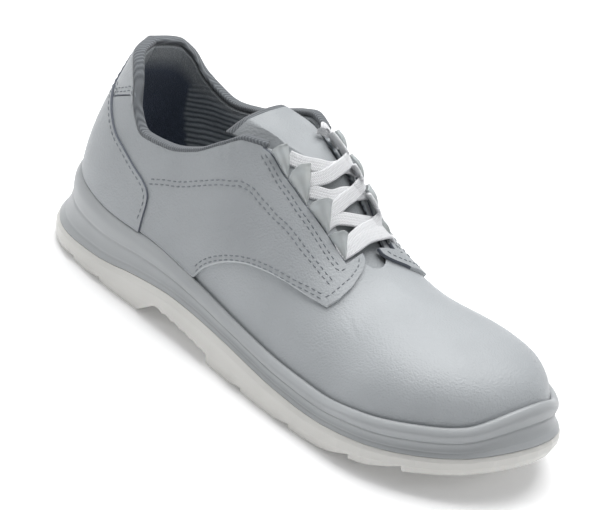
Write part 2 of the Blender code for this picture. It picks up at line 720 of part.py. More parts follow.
def above_lip(around):
    """Way up the section to just above the lip of the midsole."""
    target = height_of("rim", foot_and_crown(around)[0][..., 0]) + LIP_CLEAR

    def short(up):
        return target - last_point(around, up)[..., 2]

    return bisect(short, np.zeros(np.shape(around)), np.full(np.shape(around), 0.7))


def counter():
    """Heel counter: wraps the heel and runs up its back as a strip between the tab's ends."""
    share = np.array(COUNTER_AT)
    around = np.concatenate([-share[:0:-1], share])[:, None]
    level = np.linspace(0.0, 1.0, 12)[None, :]
    low = above_lip(around)
    up = low + (np.interp(np.abs(around), COUNTER_REACH[::-1], COUNTER_UP[::-1]) - low) * level
    around = around + 0.0 * up
    return shell("counter", around, up, np.full(up.shape, 2 * GAP), np.full(up.shape, 2 * GAP + COUNTER),
                 "9c9fa1", 0.5)


def below_piping(around):
    """Way up to the edge that the collar's panels share under the piping."""
    return collar_up(around, PIPING_HEIGHT + 4 * GAP)


def tab_low(around):
    """Way up to the lower edge of the heel tab."""
    share, _ = side_of(around)
    return np.minimum(TAB_EDGE(share) + EDGE_CLEAR, below_piping(around) - 2 * EDGE_CLEAR)


def heel_tab():
    """Tab across the back of the collar, from its curved lower edge up to the piping."""
    around = np.linspace(-TAB_AT[-1], TAB_AT[-1], 29)[:, None] * np.ones(5)
    level = np.linspace(0.0, 1.0, 5)[None, :]
    top = below_piping(around)
    low = tab_low(around)
    return shell("heel_tab", around, low + (top - low) * level, np.full(around.shape, GAP),
                 np.full(around.shape, GAP + PANEL), "9a9da0", 0.5)


def quarter(name, turn):
    """Side panel from the counter to the end of the lacing, its lower front edge an arch."""
    share = np.concatenate([np.linspace(QUARTER_AT[0], QUARTER_AT[1], 11),
                            np.linspace(QUARTER_AT[2], QUARTER_AT[3], 18)[:-1],
                            np.linspace(QUARTER_AT[3], QUARTER_AT[4], 9)])
    around = share if turn > 0 else 2.0 - share
    lip = above_lip(around)
    counter_top = np.interp(share - EDGE_CLEAR, COUNTER_REACH[::-1], COUNTER_UP[::-1]) + 2 * EDGE_CLEAR
    arch = np.maximum(np.interp(share, ARCH_AT, ARCH_UP), lip)
    bottom = np.where(share < QUARTER_AT[2], counter_top, arch)
    bottom = np.where(share > ARCH_AT[-1], np.interp(share, FRONT_AT, FRONT_LOW), bottom)
    tab = np.where(share < TAB_AT[-1] + EDGE_CLEAR, tab_low(around) - 2 * EDGE_CLEAR, 1.0)
    cut = np.where(share > COLLAR_END, np.interp(share, CUT_AT, CUT_UP), 1.0)
    top = np.minimum(np.minimum(tab, below_piping(around)), cut)
    held = np.interp(FRONT_AT[0], share, top)
    top = np.where(share > FRONT_AT[0], np.interp(share, FRONT_AT, (held,) + FRONT_HIGH), top)
    level = np.linspace(0.0, 1.0, 8)[None, :]
    up = bottom[:, None] + (top - bottom)[:, None] * level
    size = up.shape
    near = np.full(size, 2 * GAP)
    return shell(name, around[:, None] + 0.0 * up, up, near, near + PANEL, "94989a", 0.5)


def collar_piping():
    """Rounded textile edging that lies on the rim of the collar, from facing to facing."""
    side = AROUND[AROUND < PIPING_END]
    side = np.concatenate([-side[:0:-1], side])
    top = collar_up(side, PIPING_HEIGHT)
    depth = wall_depth(side, top)
    point = last_point(side, top)
    normal = last_normal(side, top)
    normal[:, 2] = 0.0
    normal /= np.linalg.norm(normal, axis=1, keepdims=True)
    middle = 0.5 * (GAP + PANEL - depth)
    half = 0.5 * (GAP + PANEL + depth)
    rings = []
    for width, height in PIPING_SECTION:
        ring = point + (middle + half * width)[:, None] * normal
        ring[:, 2] += PIPING_GAP + (PIPING_HEIGHT - PIPING_GAP) * height
        rings.append(ring)
    body = Body("collar_piping")
    grid = body.corners(np.stack(rings, 1))
    body.sheet(np.concatenate([grid, grid[:, :1]], 1))
    body.face(*grid[0])
    body.face(*grid[-1][::-1])
    return body.finish("74787b", 0.85)


def crown_bridge(around, side):
    """Point inside the last over the throat: side runs from the outer edge (-1) to the inner (1)."""
    around, side = np.broadcast_arrays(np.asarray(around, float), np.asarray(side, float))
    ends = []
    for turn, reach in ((around, -side), (2.0 - around, side)):
        up = across_up(turn, np.maximum(reach, 0.0) * TONGUE_HALF)
        ends.append((inside_last(turn, up, wall_depth(turn, up) + 2 * GAP), up))
    (outer, outer_up), (inner, inner_up) = ends
    width = np.maximum(inner[..., 1] - outer[..., 1], 0.01 * MM)
    blend = np.clip((side * TONGUE_HALF - outer[..., 1]) / width, 0.0, 1.0)
    blend = np.where((side < 0) & (outer_up < 1.0 - 1e-6), 0.0, blend)
    blend = np.where((side > 0) & (inner_up < 1.0 - 1e-6), 1.0, blend)
    return outer * (1 - blend)[..., None] + inner * blend[..., None]


def tongue():
    """Padded tongue: under the vamp and the ledges, and free above the collar."""
    side = np.linspace(-1.0, 1.0, 13)
    around = np.linspace(TONGUE_FRONT, TONGUE_FREE, 9)
    held = crown_bridge(around[:, None], side[None, :])
    edge_x = np.interp(side, TONGUE_TOP[0], TONGUE_TOP[1])
    edge_y = np.interp(side, TONGUE_TOP[0], TONGUE_TOP[2])
    edge_z = monotone(TONGUE_TOP[0], TONGUE_TOP[3])(side)
    edge = np.stack([edge_x, edge_y, edge_z], -1) * INSTEP_HEIGHT
    start = held[-1]
    pull = held[-1] - held[-2]
    pull *= (np.linalg.norm(edge - start, axis=-1) / np.linalg.norm(pull, axis=-1))[:, None]
    rows = [held]
    for share in np.linspace(0.0, 1.0, 5)[1:]:
        near, far = (1 - share) ** 2, share ** 2
        rows.append((near * start + 2 * share * (1 - share) * (start + 0.3 * pull) + far * edge)[None])
    outer = np.concatenate(rows)
    run = np.gradient(outer, axis=0)
    across = np.gradient(outer, axis=1)
    normal = np.cross(across, run)
    normal /= np.linalg.norm(normal, axis=-1, keepdims=True)
    normal *= np.sign(normal[0, 6, 2])
    edge_fade = np.minimum(1.0, 0.35 + 1.6 * (1.0 - np.abs(side)))[None, :, None]
    body = Body("tongue")
    top = body.corners(outer)
    bottom = body.corners(outer - TONGUE * edge_fade * normal)
    body.sheet(top)
    body.sheet(bottom, turned=True)
    for rim in (np.s_[0], np.s_[-1], np.s_[:, 0], np.s_[:, -1]):
        body.sheet(np.stack([top[rim], bottom[rim]], 1))
    return body.finish("c6c8ca", 0.5)


def ledge_at(x, turn):
    """Place around the loop where the lacing ledge passes a place along the shoe."""
    def short(share):
        around = share if turn > 0 else 2.0 - share
        return x - last_point(around, across_up(around, LOOP_MIDDLE, THROAT_SHIFT))[..., 0]

    return bisect(short, np.full(np.shape(x), 0.40), np.full(np.shape(x), 0.62))


def lace_loop(name, x, turn):
    """Moulded loop standing on the ledge, an arch across it that the lace runs through."""
    share = float(ledge_at(np.array(x), turn))
    places = (share + LOOP_HALF * np.linspace(-1.0, 1.0, 4))[:, None]
    around = places if turn > 0 else 2.0 - places
    high = top_up(around)
    low = np.interp(places, CUT_AT, CUT_UP)
    angle = np.radians(np.linspace(0.0, 180.0, 11))[None, :]
    grids = []
    for reach, rise in ((LOOP_REACH, LOOP_RISE), (LOOP_REACH - LOOP_WALL, LOOP_RISE - 0.8 * MM)):
        ledge = 0.5 * (high + low) + 0.5 * reach * (high - low) * np.cos(angle)
        grids.append(off_last(around + 0.0 * ledge, ledge, GAP + rise * np.sin(angle) + 0.0 * around))
    body = Body(name)
    top, bottom = body.corners(grids[0]), body.corners(grids[1])
    body.sheet(top)
    body.sheet(bottom, turned=True)
    for rim in (np.s_[0], np.s_[-1], np.s_[:, 0], np.s_[:, -1]):
        body.sheet(np.stack([top[rim], bottom[rim]], 1))
    return body.finish("d9dad8", 0.3)


def lace_band(name, start, end, lift):
    """Flat lace across the throat, from one place along it to another."""
    side = np.linspace(-1.0, 1.0, 13)[:, None]
    middle = start + (end - start) * (0.5 + 0.5 * side)
    around = middle + LACE_HALF * np.linspace(-1.0, 1.0, 3)[None, :]
    base = crown_bridge(around, LACE_SIDE * side + 0.0 * around)
    rise = (lift + LACE_BOW * (1.0 - side ** 2))[..., None] * np.array([0.0, 0.0, 1.0])
    body = Body(name)
    top = body.corners(base + rise + np.array([0.0, 0.0, LACE]))
    bottom = body.corners(base + rise)
    body.sheet(top)
    body.sheet(bottom, turned=True)
    for rim in (np.s_[0], np.s_[-1], np.s_[:, 0], np.s_[:, -1]):
        body.sheet(np.stack([top[rim], bottom[rim]], 1))
    return body.finish("cfd0d2", 0.85)


def lace_cross(name, rear, front):
    """Two bands of lace that cross over the tongue, joined where they meet."""
    band = lace_band(name, rear, front, LACE_LIFT)
    other = lace_band(name + "_second", front, rear, LACE_LIFT + 0.5 * LACE)
    other.hide_render = True
    other.display_type = "WIRE"
    join = band.modifiers.new("join", "BOOLEAN")
    join.operation = "UNION"
    join.solver = "EXACT"
    join.object = other


def lacing():
    """Loops on both ledges, the crossed laces between them and the bar at the bottom."""
    for i, x in enumerate(LOOP_AT):
        lace_loop("lace_loop_outer_%d" % (i + 1), x * UPPER_LENGTH, 1)
        lace_loop("lace_loop_inner_%d" % (i + 1), x * UPPER_LENGTH, -1)
    places = [float(ledge_at(np.array(x * UPPER_LENGTH), 1)) for x in LOOP_AT]
    for i in range(3):
        lace_cross("lace_cross_%d" % (i + 1), places[i] + LACE_STEP, places[i + 1] - LACE_STEP)
    lace_band("lace_bar", places[3] + BAR_AHEAD, places[3] + BAR_AHEAD, BAR_LIFT)


def clear_scene():
    """Start from an empty scene."""
    for item in list(bpy.context.scene.objects):
        bpy.data.objects.remove(item, do_unlink=True)


def middle_of_sole():
    """Middle of the sole's plan outline, on the ground."""
    foot_x = foot_and_crown(AROUND)[0][..., 0]
    plan = foot_plan(AROUND, overhang_of(foot_x) + BULGE)
    middle = 0.5 * (plan.min(axis=0) + plan.max(axis=0))
    return np.array([middle[0], middle[1], 0.0])


ORIGIN = middle_of_sole()


def build():
    """Make every piece of the shoe."""
    clear_scene()
    upper()
    midsole()
    outsole()
    insole()
    counter()
    heel_tab()
    quarter("quarter_outer", 1)
    quarter("quarter_inner", -1)
    collar_piping()
    tongue()
    lacing()


build()
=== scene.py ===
"""Dresses the solids of a low-cut right safety shoe: leather, linings, stitches, laces and sole."""

import math

import bmesh
import bpy
import numpy as np
from mathutils import Matrix, Vector
from mathutils.kdtree import KDTree


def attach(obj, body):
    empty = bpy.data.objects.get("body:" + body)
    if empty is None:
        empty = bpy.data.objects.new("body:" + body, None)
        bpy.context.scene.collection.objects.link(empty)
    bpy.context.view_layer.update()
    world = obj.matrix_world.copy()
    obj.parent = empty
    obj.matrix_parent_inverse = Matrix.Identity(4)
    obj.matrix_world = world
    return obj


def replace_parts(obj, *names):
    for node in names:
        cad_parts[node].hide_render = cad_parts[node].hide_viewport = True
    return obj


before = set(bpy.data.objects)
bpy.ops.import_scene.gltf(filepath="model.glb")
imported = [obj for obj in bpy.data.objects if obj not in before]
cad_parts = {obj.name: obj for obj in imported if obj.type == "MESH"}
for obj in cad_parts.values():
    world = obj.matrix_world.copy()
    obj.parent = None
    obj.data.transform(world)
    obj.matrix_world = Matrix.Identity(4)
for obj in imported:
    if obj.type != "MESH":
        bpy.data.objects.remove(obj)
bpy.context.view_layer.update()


# Camera: a long lens high on the outer side of the toe, rolled so that the picture shows the
# shoe with its toe down to the right, and the horizon tilted with it.
def camera():
    """Fitted view: three angles, the picture's size, focal length and centre in pixels, distance."""
    azimuth, elevation, roll = math.radians(36.64), math.radians(27.01), math.radians(13.69)
    width, height, focal, centre_x, centre_y = 600.0, 510.0, 6386.1, 327.4, 275.1
    distance, target = 2.8848, Vector((0.00900, 0.00155, 0.04500))
    back = Vector((math.sin(azimuth) * math.cos(elevation), -math.cos(azimuth) * math.cos(elevation),
                   math.sin(elevation)))
    right = Vector((math.cos(azimuth), math.sin(azimuth), 0.0))
    up = back.cross(right)
    turned = math.cos(roll) * right + math.sin(roll) * up
    raised = -math.sin(roll) * right + math.cos(roll) * up
    data = bpy.data.cameras.new("camera")
    data.sensor_width = 36.0
    data.lens = data.sensor_width * focal / width
    data.shift_x = (0.5 * width - centre_x) / width
    data.shift_y = (centre_y - 0.5 * height) / width
    data.clip_start = 0.1
    data.clip_end = 20.0
    view = bpy.data.objects.new("camera", data)
    turn = Matrix((turned, raised, back)).transposed().to_4x4()
    view.matrix_world = Matrix.Translation(target + distance * back) @ turn
    bpy.context.scene.collection.objects.link(view)
    bpy.context.scene.camera = view


camera()


# Floor and light: white paper, one broad soft light above the inner side, weaker ones from the
# heel and from the toe, and an even white surround. The paper also glows faintly: painted light
# that lifts the shadows on it.
def colour(text):
    """Linear colour from an sRGB hex string."""
    levels = [int(text[i:i + 2], 16) / 255 for i in (0, 2, 4)]
    return [c / 12.92 if c <= 0.04045 else ((c + 0.055) / 1.055) ** 2.4 for c in levels] + [1.0]


def add(tree, kind, links=(), **settings):
    """One shader node with its settings and the links that end in it."""
    node = tree.nodes.new(kind)
    for name, value in settings.items():
        if hasattr(node, name):
            setattr(node, name, value)
        else:
            node.inputs[name.replace("_", " ")].default_value = value
    for source, target in links:
        tree.links.new(source, node.inputs[target])
    return node


def two_tints(tree, factor, first, second):
    """Colour between two tints, by a factor."""
    tint = add(tree, "ShaderNodeMix", [(factor, "Factor")], data_type="RGBA")
    tint.inputs[6].default_value = colour(first)
    tint.inputs[7].default_value = colour(second)
    return tint.outputs[2]


def material(name, **sockets):
    """New material, its surface shader with its own settings, and the Object coordinates."""
    made = bpy.data.materials.new(name)
    made.use_nodes = True
    tree = made.node_tree
    shader = tree.nodes["Principled BSDF"]
    for socket, value in sockets.items():
        shader.inputs[socket.replace("_", " ")].default_value = value
    place = add(tree, "ShaderNodeTexCoord").outputs["Object"]
    return made, tree, shader, place


def paper():
    bpy.ops.mesh.primitive_plane_add(size=8.0, location=(0.0, 0.0, 0.0))
    ground = bpy.context.object
    ground.name = "floor"
    # The paper's faint emission is painted light: it makes the floor glow and lifts its shadows.
    made, tree, shader, place = material("glowing_paper_painted_light", Roughness=0.9, Emission_Strength=0.10,
                                         Emission_Color=colour("ffffff"))
    noise = add(tree, "ShaderNodeTexNoise", [(place, "Vector")], Scale=4.0, Detail=2.0)
    tree.links.new(two_tints(tree, noise.outputs["Fac"], "fbfbfc", "fdfdfd"), shader.inputs["Base Color"])
    ground.data.materials.append(made)


def lamp(name, place, target, size, power):
    data = bpy.data.lights.new(name, "AREA")
    data.shape = "RECTANGLE"
    data.size, data.size_y = size
    data.energy = power
    light = bpy.data.objects.new(name, data)
    light.location = place
    light.rotation_mode = "QUATERNION"
    light.rotation_quaternion = (Vector(target) - Vector(place)).to_track_quat("-Z", "Y")
    bpy.context.scene.collection.objects.link(light)


bpy.ops.object.select_all(action="DESELECT")
paper()
lamp("top_softbox", (-0.22, 0.34, 1.25), (0.03, 0.0, 0.04), (1.3, 1.3), 24.0)
lamp("heel_softbox", (-1.10, -0.75, 0.75), (-0.10, 0.0, 0.05), (0.6, 0.6), 3.2)
lamp("toe_softbox", (1.10, 0.35, 0.90), (0.10, 0.0, 0.05), (0.4, 0.4), 1.2)
surround = bpy.data.worlds.new("studio")
surround.use_nodes = True
surround.node_tree.nodes["Background"].inputs["Color"].default_value = colour("fcfdff")
surround.node_tree.nodes["Background"].inputs["Strength"].default_value = 0.31
bpy.context.scene.world = surround
bpy.context.scene.view_settings.view_transform = "Standard"


# Upper: white microfibre pulled over a last, open at the collar, at the throat and underneath.
# Its surface is worked out from the last: a plan outline and one curve for each station of it.
MM = 0.001

# Driving dimensions of the last.
UPPER_LENGTH = 264.0 * MM
BALL_WIDTH = 98.0 * MM
INSTEP_HEIGHT = 103.0 * MM
SEAT_HEIGHT = 30.0 * MM

# Wall with its lining, collar padding, and how high the piping stands over the wall.
WALL = 1.6 * MM
COLLAR_PAD = 2.2 * MM
PIPING_HEIGHT = 3.0 * MM

# Throat: half the gap between the two lacing ledges, the shift of its middle to the inner side,
# where its rounded end starts and stops, the place around the last from which the vamp is
# closed, and the way up above which the two sides count as one.
LEDGE_GAP = 12.0 * MM
THROAT_SHIFT = 1.5 * MM
THROAT_BEND = 0.560
THROAT_END = 0.635
VAMP_START = 0.700
CLOSED_UP = 0.996

# How far the joint of the sole and the widest part of the tread stand proud of the upper.
HEEL_OVERHANG = 10.0 * MM
SIDE_OVERHANG = 5.5 * MM
TOE_OVERHANG = 8.0 * MM
BULGE = 1.0 * MM

# Last, one row for each station from the heel (row 1) to the tip of the toe. At is the place of
# the foot of the section along the upper, outer and inner its half widths in ball widths. The
# section ends on the crown line: crown_at, crown_outer, crown_inner and crown_height give that
# end in upper lengths, ball widths and instep heights. Flare is the outward lean at the foot and
# lean the direction at the crown, 90 upright and 0 flat, both in degrees. The pulls are the
# lengths of the curve's two handles as shares of its chord.
LAST_COLUMNS = ("at", "outer", "inner", "crown_at", "crown_outer", "crown_inner",
                "crown_height", "flare", "lean", "low_pull", "high_pull")
LAST_ROWS = (
    (0.000, 0.000, 0.000, 0.035, -0.035, 0.035, 1.037, 10.0, 78.0, 0.36, 0.34),
    (0.035, 0.220, 0.215, 0.055, 0.107, 0.183, 1.027, 9.0, 78.0, 0.36, 0.34),
    (0.120, 0.324, 0.316, 0.120, 0.232, 0.293, 0.892, 7.0, 78.0, 0.36, 0.34),
    (0.250, 0.376, 0.326, 0.240, 0.244, 0.290, 0.871, 3.0, 72.0, 0.36, 0.34),
    (0.380, 0.410, 0.313, 0.345, 0.213, 0.247, 1.003, 2.0, 62.0, 0.36, 0.32),
    (0.500, 0.459, 0.346, 0.460, 0.080, 0.080, 0.954, 2.0, 30.0, 0.36, 0.28),
    (0.620, 0.504, 0.430, 0.570, 0.000, 0.000, 0.705, 4.0, 0.0, 0.38, 0.38),
    (0.740, 0.527, 0.493, 0.675, 0.000, 0.000, 0.580, 6.0, 0.0, 0.40, 0.42),
    (0.840, 0.515, 0.490, 0.765, -0.010, 0.010, 0.562, 6.0, 0.0, 0.42, 0.50),
    (0.915, 0.411, 0.418, 0.830, -0.030, 0.030, 0.552, 6.0, 0.0, 0.42, 0.56),
    (0.972, 0.233, 0.275, 0.830, -0.030, 0.030, 0.552, 5.0, 0.0, 0.42, 0.56),
    (1.000, -0.045, 0.045, 0.830, -0.030, 0.030, 0.552, 4.0, 0.0, 0.42, 0.56),
)
LAST = {name: [row[i] for row in LAST_ROWS] for i, name in enumerate(LAST_COLUMNS)}

# Heights along the upper, in seat heights: the floor of the cup, the rim of the midsole, and the
# joint between midsole and outsole.
SOLE_COLUMNS = ("at", "floor", "rim", "joint")
SOLE_ROWS = (
    (0.000, 0.95, 1.32, 0.40),
    (0.050, 0.93, 1.22, 0.34),
    (0.150, 0.91, 1.12, 0.39),
    (0.250, 0.86, 1.14, 0.55),
    (0.350, 0.77, 1.06, 0.63),
    (0.500, 0.62, 0.90, 0.58),
    (0.640, 0.52, 0.81, 0.47),
    (0.720, 0.54, 0.80, 0.44),
    (0.815, 0.62, 0.91, 0.52),
    (0.900, 0.74, 1.04, 0.62),
    (0.960, 0.84, 1.13, 0.72),
    (1.000, 0.92, 1.38, 0.86),
)
SOLE = {name: [row[i] for row in SOLE_ROWS] for i, name in enumerate(SOLE_COLUMNS)}

# Top line of the finished collar, by the place around the outline (0 heel, 1 toe), in instep
# heights on the outer and on the inner side.
TOPLINE_COLUMNS = ("at", "outer", "inner")
TOPLINE_ROWS = (
    (0.000, 0.990, 0.990),
    (0.070, 0.985, 0.975),
    (0.100, 0.965, 0.930),
    (0.130, 0.905, 0.835),
    (0.155, 0.805, 0.795),
    (0.190, 0.735, 0.775),
    (0.240, 0.750, 0.808),
    (0.300, 0.812, 0.885),
    (0.350, 0.905, 0.950),
    (0.390, 0.970, 0.985),
    (0.425, 0.975, 0.970),
    (0.480, 0.960, 0.950),
)
TOPLINE = {name: [row[i] for row in TOPLINE_ROWS] for i, name in enumerate(TOPLINE_COLUMNS)}


def monotone(at, values):
    """Smooth curve through a table that never swings past its rows."""
    at, values = np.asarray(at, float), np.asarray(values, float)
    step = np.diff(at)
    slope = np.diff(values) / step
    tangent = np.zeros(len(at))
    for i in range(1, len(at) - 1):
        if slope[i - 1] * slope[i] > 0:
            before, after = step[i - 1], step[i]
            weight_a, weight_b = 2 * after + before, after + 2 * before
            tangent[i] = (weight_a + weight_b) / (weight_a / slope[i - 1] + weight_b / slope[i])
    tangent[0], tangent[-1] = slope[0], slope[-1]

    def curve(x):
        x = np.clip(np.asarray(x, float), at[0], at[-1])
        i = np.clip(np.searchsorted(at, x, side="right") - 1, 0, len(at) - 2)
        h = step[i]
        u = (x - at[i]) / h
        return (values[i] * (1 + 2 * u) * (1 - u) ** 2 + tangent[i] * h * u * (1 - u) ** 2
                + values[i + 1] * u * u * (3 - 2 * u) + tangent[i + 1] * h * u * u * (u - 1))

    return curve


def closed_spline(at, values, period):
    """Cubic spline around a closed loop, with its slope."""
    at, values = np.asarray(at, float), np.asarray(values, float)
    count = len(at)
    step = np.diff(np.append(at, at[0] + period))
    rise = np.diff(np.append(values, values[0])) / step
    matrix, right = np.zeros((count, count)), np.zeros(count)
    for i in range(count):
        matrix[i, i - 1] += step[i - 1]
        matrix[i, i] += 2 * (step[i - 1] + step[i])
        matrix[i, (i + 1) % count] += step[i]
        right[i] = 6 * (rise[i] - rise[i - 1])
    bend = np.linalg.solve(matrix, right)

    def curve(x):
        x = np.mod(np.asarray(x, float) - at[0], period) + at[0]
        i = np.clip(np.searchsorted(at, x, side="right") - 1, 0, count - 1)
        j = (i + 1) % count
        h, a = step[i], x - at[i]
        b = h - a
        place = (bend[i] * b ** 3 + bend[j] * a ** 3) / (6 * h)
        place += (values[i] / h - bend[i] * h / 6) * b + (values[j] / h - bend[j] * h / 6) * a
        slope = (bend[j] * a ** 2 - bend[i] * b ** 2) / (2 * h)
        slope += (values[j] - values[i]) / h - (bend[j] - bend[i]) * h / 6
        return place, slope

    return curve


def outline_spline():
    """Plan outline of the last: around the loop, 0 is the heel, 1 the toe tip, 2 the heel."""
    x = np.array(LAST["at"]) * UPPER_LENGTH
    outer = -np.array(LAST["outer"]) * BALL_WIDTH
    inner = np.array(LAST["inner"]) * BALL_WIDTH
    half = 0.5 * (inner - outer)
    run = np.concatenate([[0.0], np.cumsum(np.hypot(np.diff(x), np.diff(half)))])
    run /= run[-1]
    around = np.concatenate([run, 2.0 - run[-2:0:-1]])
    return (run, closed_spline(around, np.concatenate([x, x[-2:0:-1]]), 2.0),
            closed_spline(around, np.concatenate([outer, inner[-2:0:-1]]), 2.0))


RUN, OUTLINE_X, OUTLINE_Y = outline_spline()
COLUMN = {name: monotone(RUN, LAST[name]) for name in LAST_COLUMNS[3:]}
SOLE_CURVE = {name: monotone(SOLE["at"], SOLE[name]) for name in SOLE_COLUMNS[1:]}
TOPLINE_CURVE = {name: monotone(TOPLINE["at"], TOPLINE[name]) for name in TOPLINE_COLUMNS[1:]}


def ridge_slope(x):
    """Fall of the closed ridge of the vamp at a place along it."""
    rows = [i for i in range(len(RUN)) if abs(LAST["crown_outer"][i] + LAST["crown_inner"][i]) < 1e-9]
    rows = [i for i in rows if 0 < i and (i == rows[-1] or LAST["crown_at"][i] < LAST["crown_at"][i + 1])]
    at = np.array([LAST["crown_at"][i] for i in rows]) * UPPER_LENGTH
    height = np.array([LAST["crown_height"][i] for i in rows]) * INSTEP_HEIGHT
    keep = np.concatenate([[True], np.diff(at) > 0])
    slope = np.gradient(height[keep], at[keep])
    return np.interp(x, at[keep], slope)


def height_of(name, x):
    """A height of the sole table, at a place along the upper."""
    return SOLE_CURVE[name](x / UPPER_LENGTH) * SEAT_HEIGHT


def unit(ways):
    """Ways brought to length one; a way without length stays as it is."""
    return ways / np.maximum(np.linalg.norm(ways, axis=-1, keepdims=True), 1e-12)


def foot_and_crown(around):
    """Ends and handles of the section curves at places around the loop."""
    around = np.mod(np.asarray(around, float), 2.0)
    share = np.minimum(around, 2.0 - around)
    outer = around <= 1.0
    x, slope_x = OUTLINE_X(around)
    y, slope_y = OUTLINE_Y(around)
    run = np.hypot(slope_x, slope_y)
    normal_x, normal_y = slope_y / run, -slope_x / run
    foot = np.stack([x, y, height_of("floor", x)], -1)
    gap = np.where(outer, -COLUMN["crown_outer"](share), COLUMN["crown_inner"](share))
    crown = np.stack([COLUMN["crown_at"](share) * UPPER_LENGTH, gap * BALL_WIDTH,
                      COLUMN["crown_height"](share) * INSTEP_HEIGHT], -1)
    chord = np.linalg.norm(crown - foot, axis=-1)
    plan = unit((foot - crown)[..., :2])
    flare = np.radians(COLUMN["flare"](share))
    lean = np.radians(COLUMN["lean"](share))
    low = (COLUMN["low_pull"](share) * chord)[..., None] * np.stack(
        [np.sin(flare) * normal_x, np.sin(flare) * normal_y, np.cos(flare)], -1)
    fall = ridge_slope(crown[..., 0]) * plan[..., 0] * np.cos(lean)
    high = (COLUMN["high_pull"](share) * chord)[..., None] * np.stack(
        [np.cos(lean) * plan[..., 0], np.cos(lean) * plan[..., 1], fall - np.sin(lean)], -1)
    return foot, foot + low, crown + high, crown


def last_point(around, up):
    """Point of the last's surface: around its loop, and up from the foot (0) to the crown (1)."""
    around, up = np.broadcast_arrays(np.asarray(around, float), np.asarray(up, float))
    a, b, c, d = foot_and_crown(around)
    t = up[..., None]
    return (1 - t) ** 3 * a + 3 * t * (1 - t) ** 2 * b + 3 * t * t * (1 - t) * c + t ** 3 * d


def last_normal(around, up):
    """Outward normal of the last's surface."""
    small = 0.002
    around, up = np.broadcast_arrays(np.asarray(around, float), np.asarray(up, float))
    inside = np.clip(up, 0.0, 1.0 - 2 * small)
    along = last_point(around + small, inside) - last_point(around - small, inside)
    rise = last_point(around, inside + small) - last_point(around, inside - small)
    return unit(np.cross(along, rise))


def off_last(around, up, out):
    """Point at a distance out from the last's surface."""
    return last_point(around, up) + np.asarray(out)[..., None] * last_normal(around, up)


def inside_last(around, up, depth):
    """Point at a depth inside the last's surface, straight below it near the closed ridge."""
    share = np.minimum(np.mod(around, 2.0), 2.0 - np.mod(around, 2.0))
    level = np.clip((up - 0.55) / 0.4, 0.0, 1.0) * np.clip((share - 0.52) / 0.05, 0.0, 1.0)
    way = (1.0 - level)[..., None] * last_normal(around, up) + level[..., None] * np.array([0.0, 0.0, 1.0])
    return last_point(around, up) - np.asarray(depth)[..., None] * unit(way)


def bisect(function, low, high):
    """Place where a falling function crosses zero, for arrays of brackets."""
    low, high = np.array(low, float), np.array(high, float)
    for _ in range(32):
        middle = 0.5 * (low + high)
        above = function(middle) > 0
        low = np.where(above, middle, low)
        high = np.where(above, high, middle)
    return 0.5 * (low + high)


def side_of(around):
    """Share of the way from heel to toe, and True on the outer side."""
    around = np.mod(np.asarray(around, float), 2.0)
    return np.minimum(around, 2.0 - around), around <= 1.0


def up_to(around, height, low, high):
    """Way up the section to a height, looked for between two ways up."""
    def short(up):
        return height - last_point(around, up)[..., 2]

    shape = np.shape(around)
    return bisect(short, np.full(shape, low), np.full(shape, high))


def collar_up(around, drop):
    """Way up to the collar's top line, less a drop."""
    share, outer = side_of(around)
    top = np.where(outer, TOPLINE_CURVE["outer"](share), TOPLINE_CURVE["inner"](share))
    return up_to(around, top * INSTEP_HEIGHT - drop, 0.3, 1.0)


def throat_up(around, gap):
    """Way up to the edge of the throat, a slot in plan with a rounded front end."""
    share, outer = side_of(around)
    bend, end = THROAT_BEND * UPPER_LENGTH, THROAT_END * UPPER_LENGTH

    def outside(up):
        point = last_point(around, up)
        past = np.clip((point[..., 0] - bend) / (end - bend), 0.0, 1.0)
        half = gap * np.sqrt(1.0 - past ** 2)
        return np.where(outer, -1.0, 1.0) * (point[..., 1] - THROAT_SHIFT * (half / gap)) - half

    return bisect(outside, np.full(share.shape, 0.3), np.ones(share.shape))


def top_up(around, drop=0.0, gap=LEDGE_GAP):
    """Way up to the upper's edge: the collar, then the throat, then the closed ridge."""
    share, _ = side_of(around)
    collar = np.where(share < TOPLINE["at"][-1], collar_up(around, drop), 1.0)
    slot = (share > TOPLINE["at"][-3]) & (share < VAMP_START)
    throat = np.where(slot, throat_up(around, gap), 1.0)
    edge = np.minimum(collar, throat)
    return np.where(edge > 1.0 - 1e-6, 1.0, edge)


def wall_depth(around, up):
    """Thickness of the upper's wall: thicker where the collar is padded."""
    share, _ = side_of(around)
    fade = np.clip((0.46 - share) / 0.08, 0.0, 1.0)
    high = np.clip((up - 0.45) / 0.3, 0.0, 1.0)
    return WALL + COLLAR_PAD * fade * high * high * (3 - 2 * high)


def foot_plan(around, out):
    """Plan point at a distance out from the foot of the sections."""
    foot = foot_and_crown(around)[0]
    small = 0.001
    ahead = foot_and_crown(around + small)[0]
    behind = foot_and_crown(around - small)[0]
    run = unit((ahead - behind)[..., :2])
    normal = np.stack([run[..., 1], -run[..., 0]], -1)
    return foot[..., :2] + np.asarray(out)[..., None] * normal


def stations(marks, counts):
    """Places around the whole loop, evenly spaced between the marks of one side."""
    side = [marks[0]]
    for low, high, count in zip(marks, marks[1:], counts):
        side.extend(low + (high - low) * (i + 1) / count for i in range(count))
    side = np.array(side)
    return np.concatenate([side, 2.0 - side[-2:0:-1]])


# Marks of one side, heel to toe, and the stations between them: a few for the plan, many to build.
MARKS = (0.0, 0.155, 0.43, 0.47, 0.60, 0.665, 0.774, 0.844, 1.0)
AROUND = stations(MARKS, (8, 9, 2, 5, 3, 3, 2, 5))
FINE = stations(MARKS, (28, 44, 10, 32, 18, 30, 22, 44))


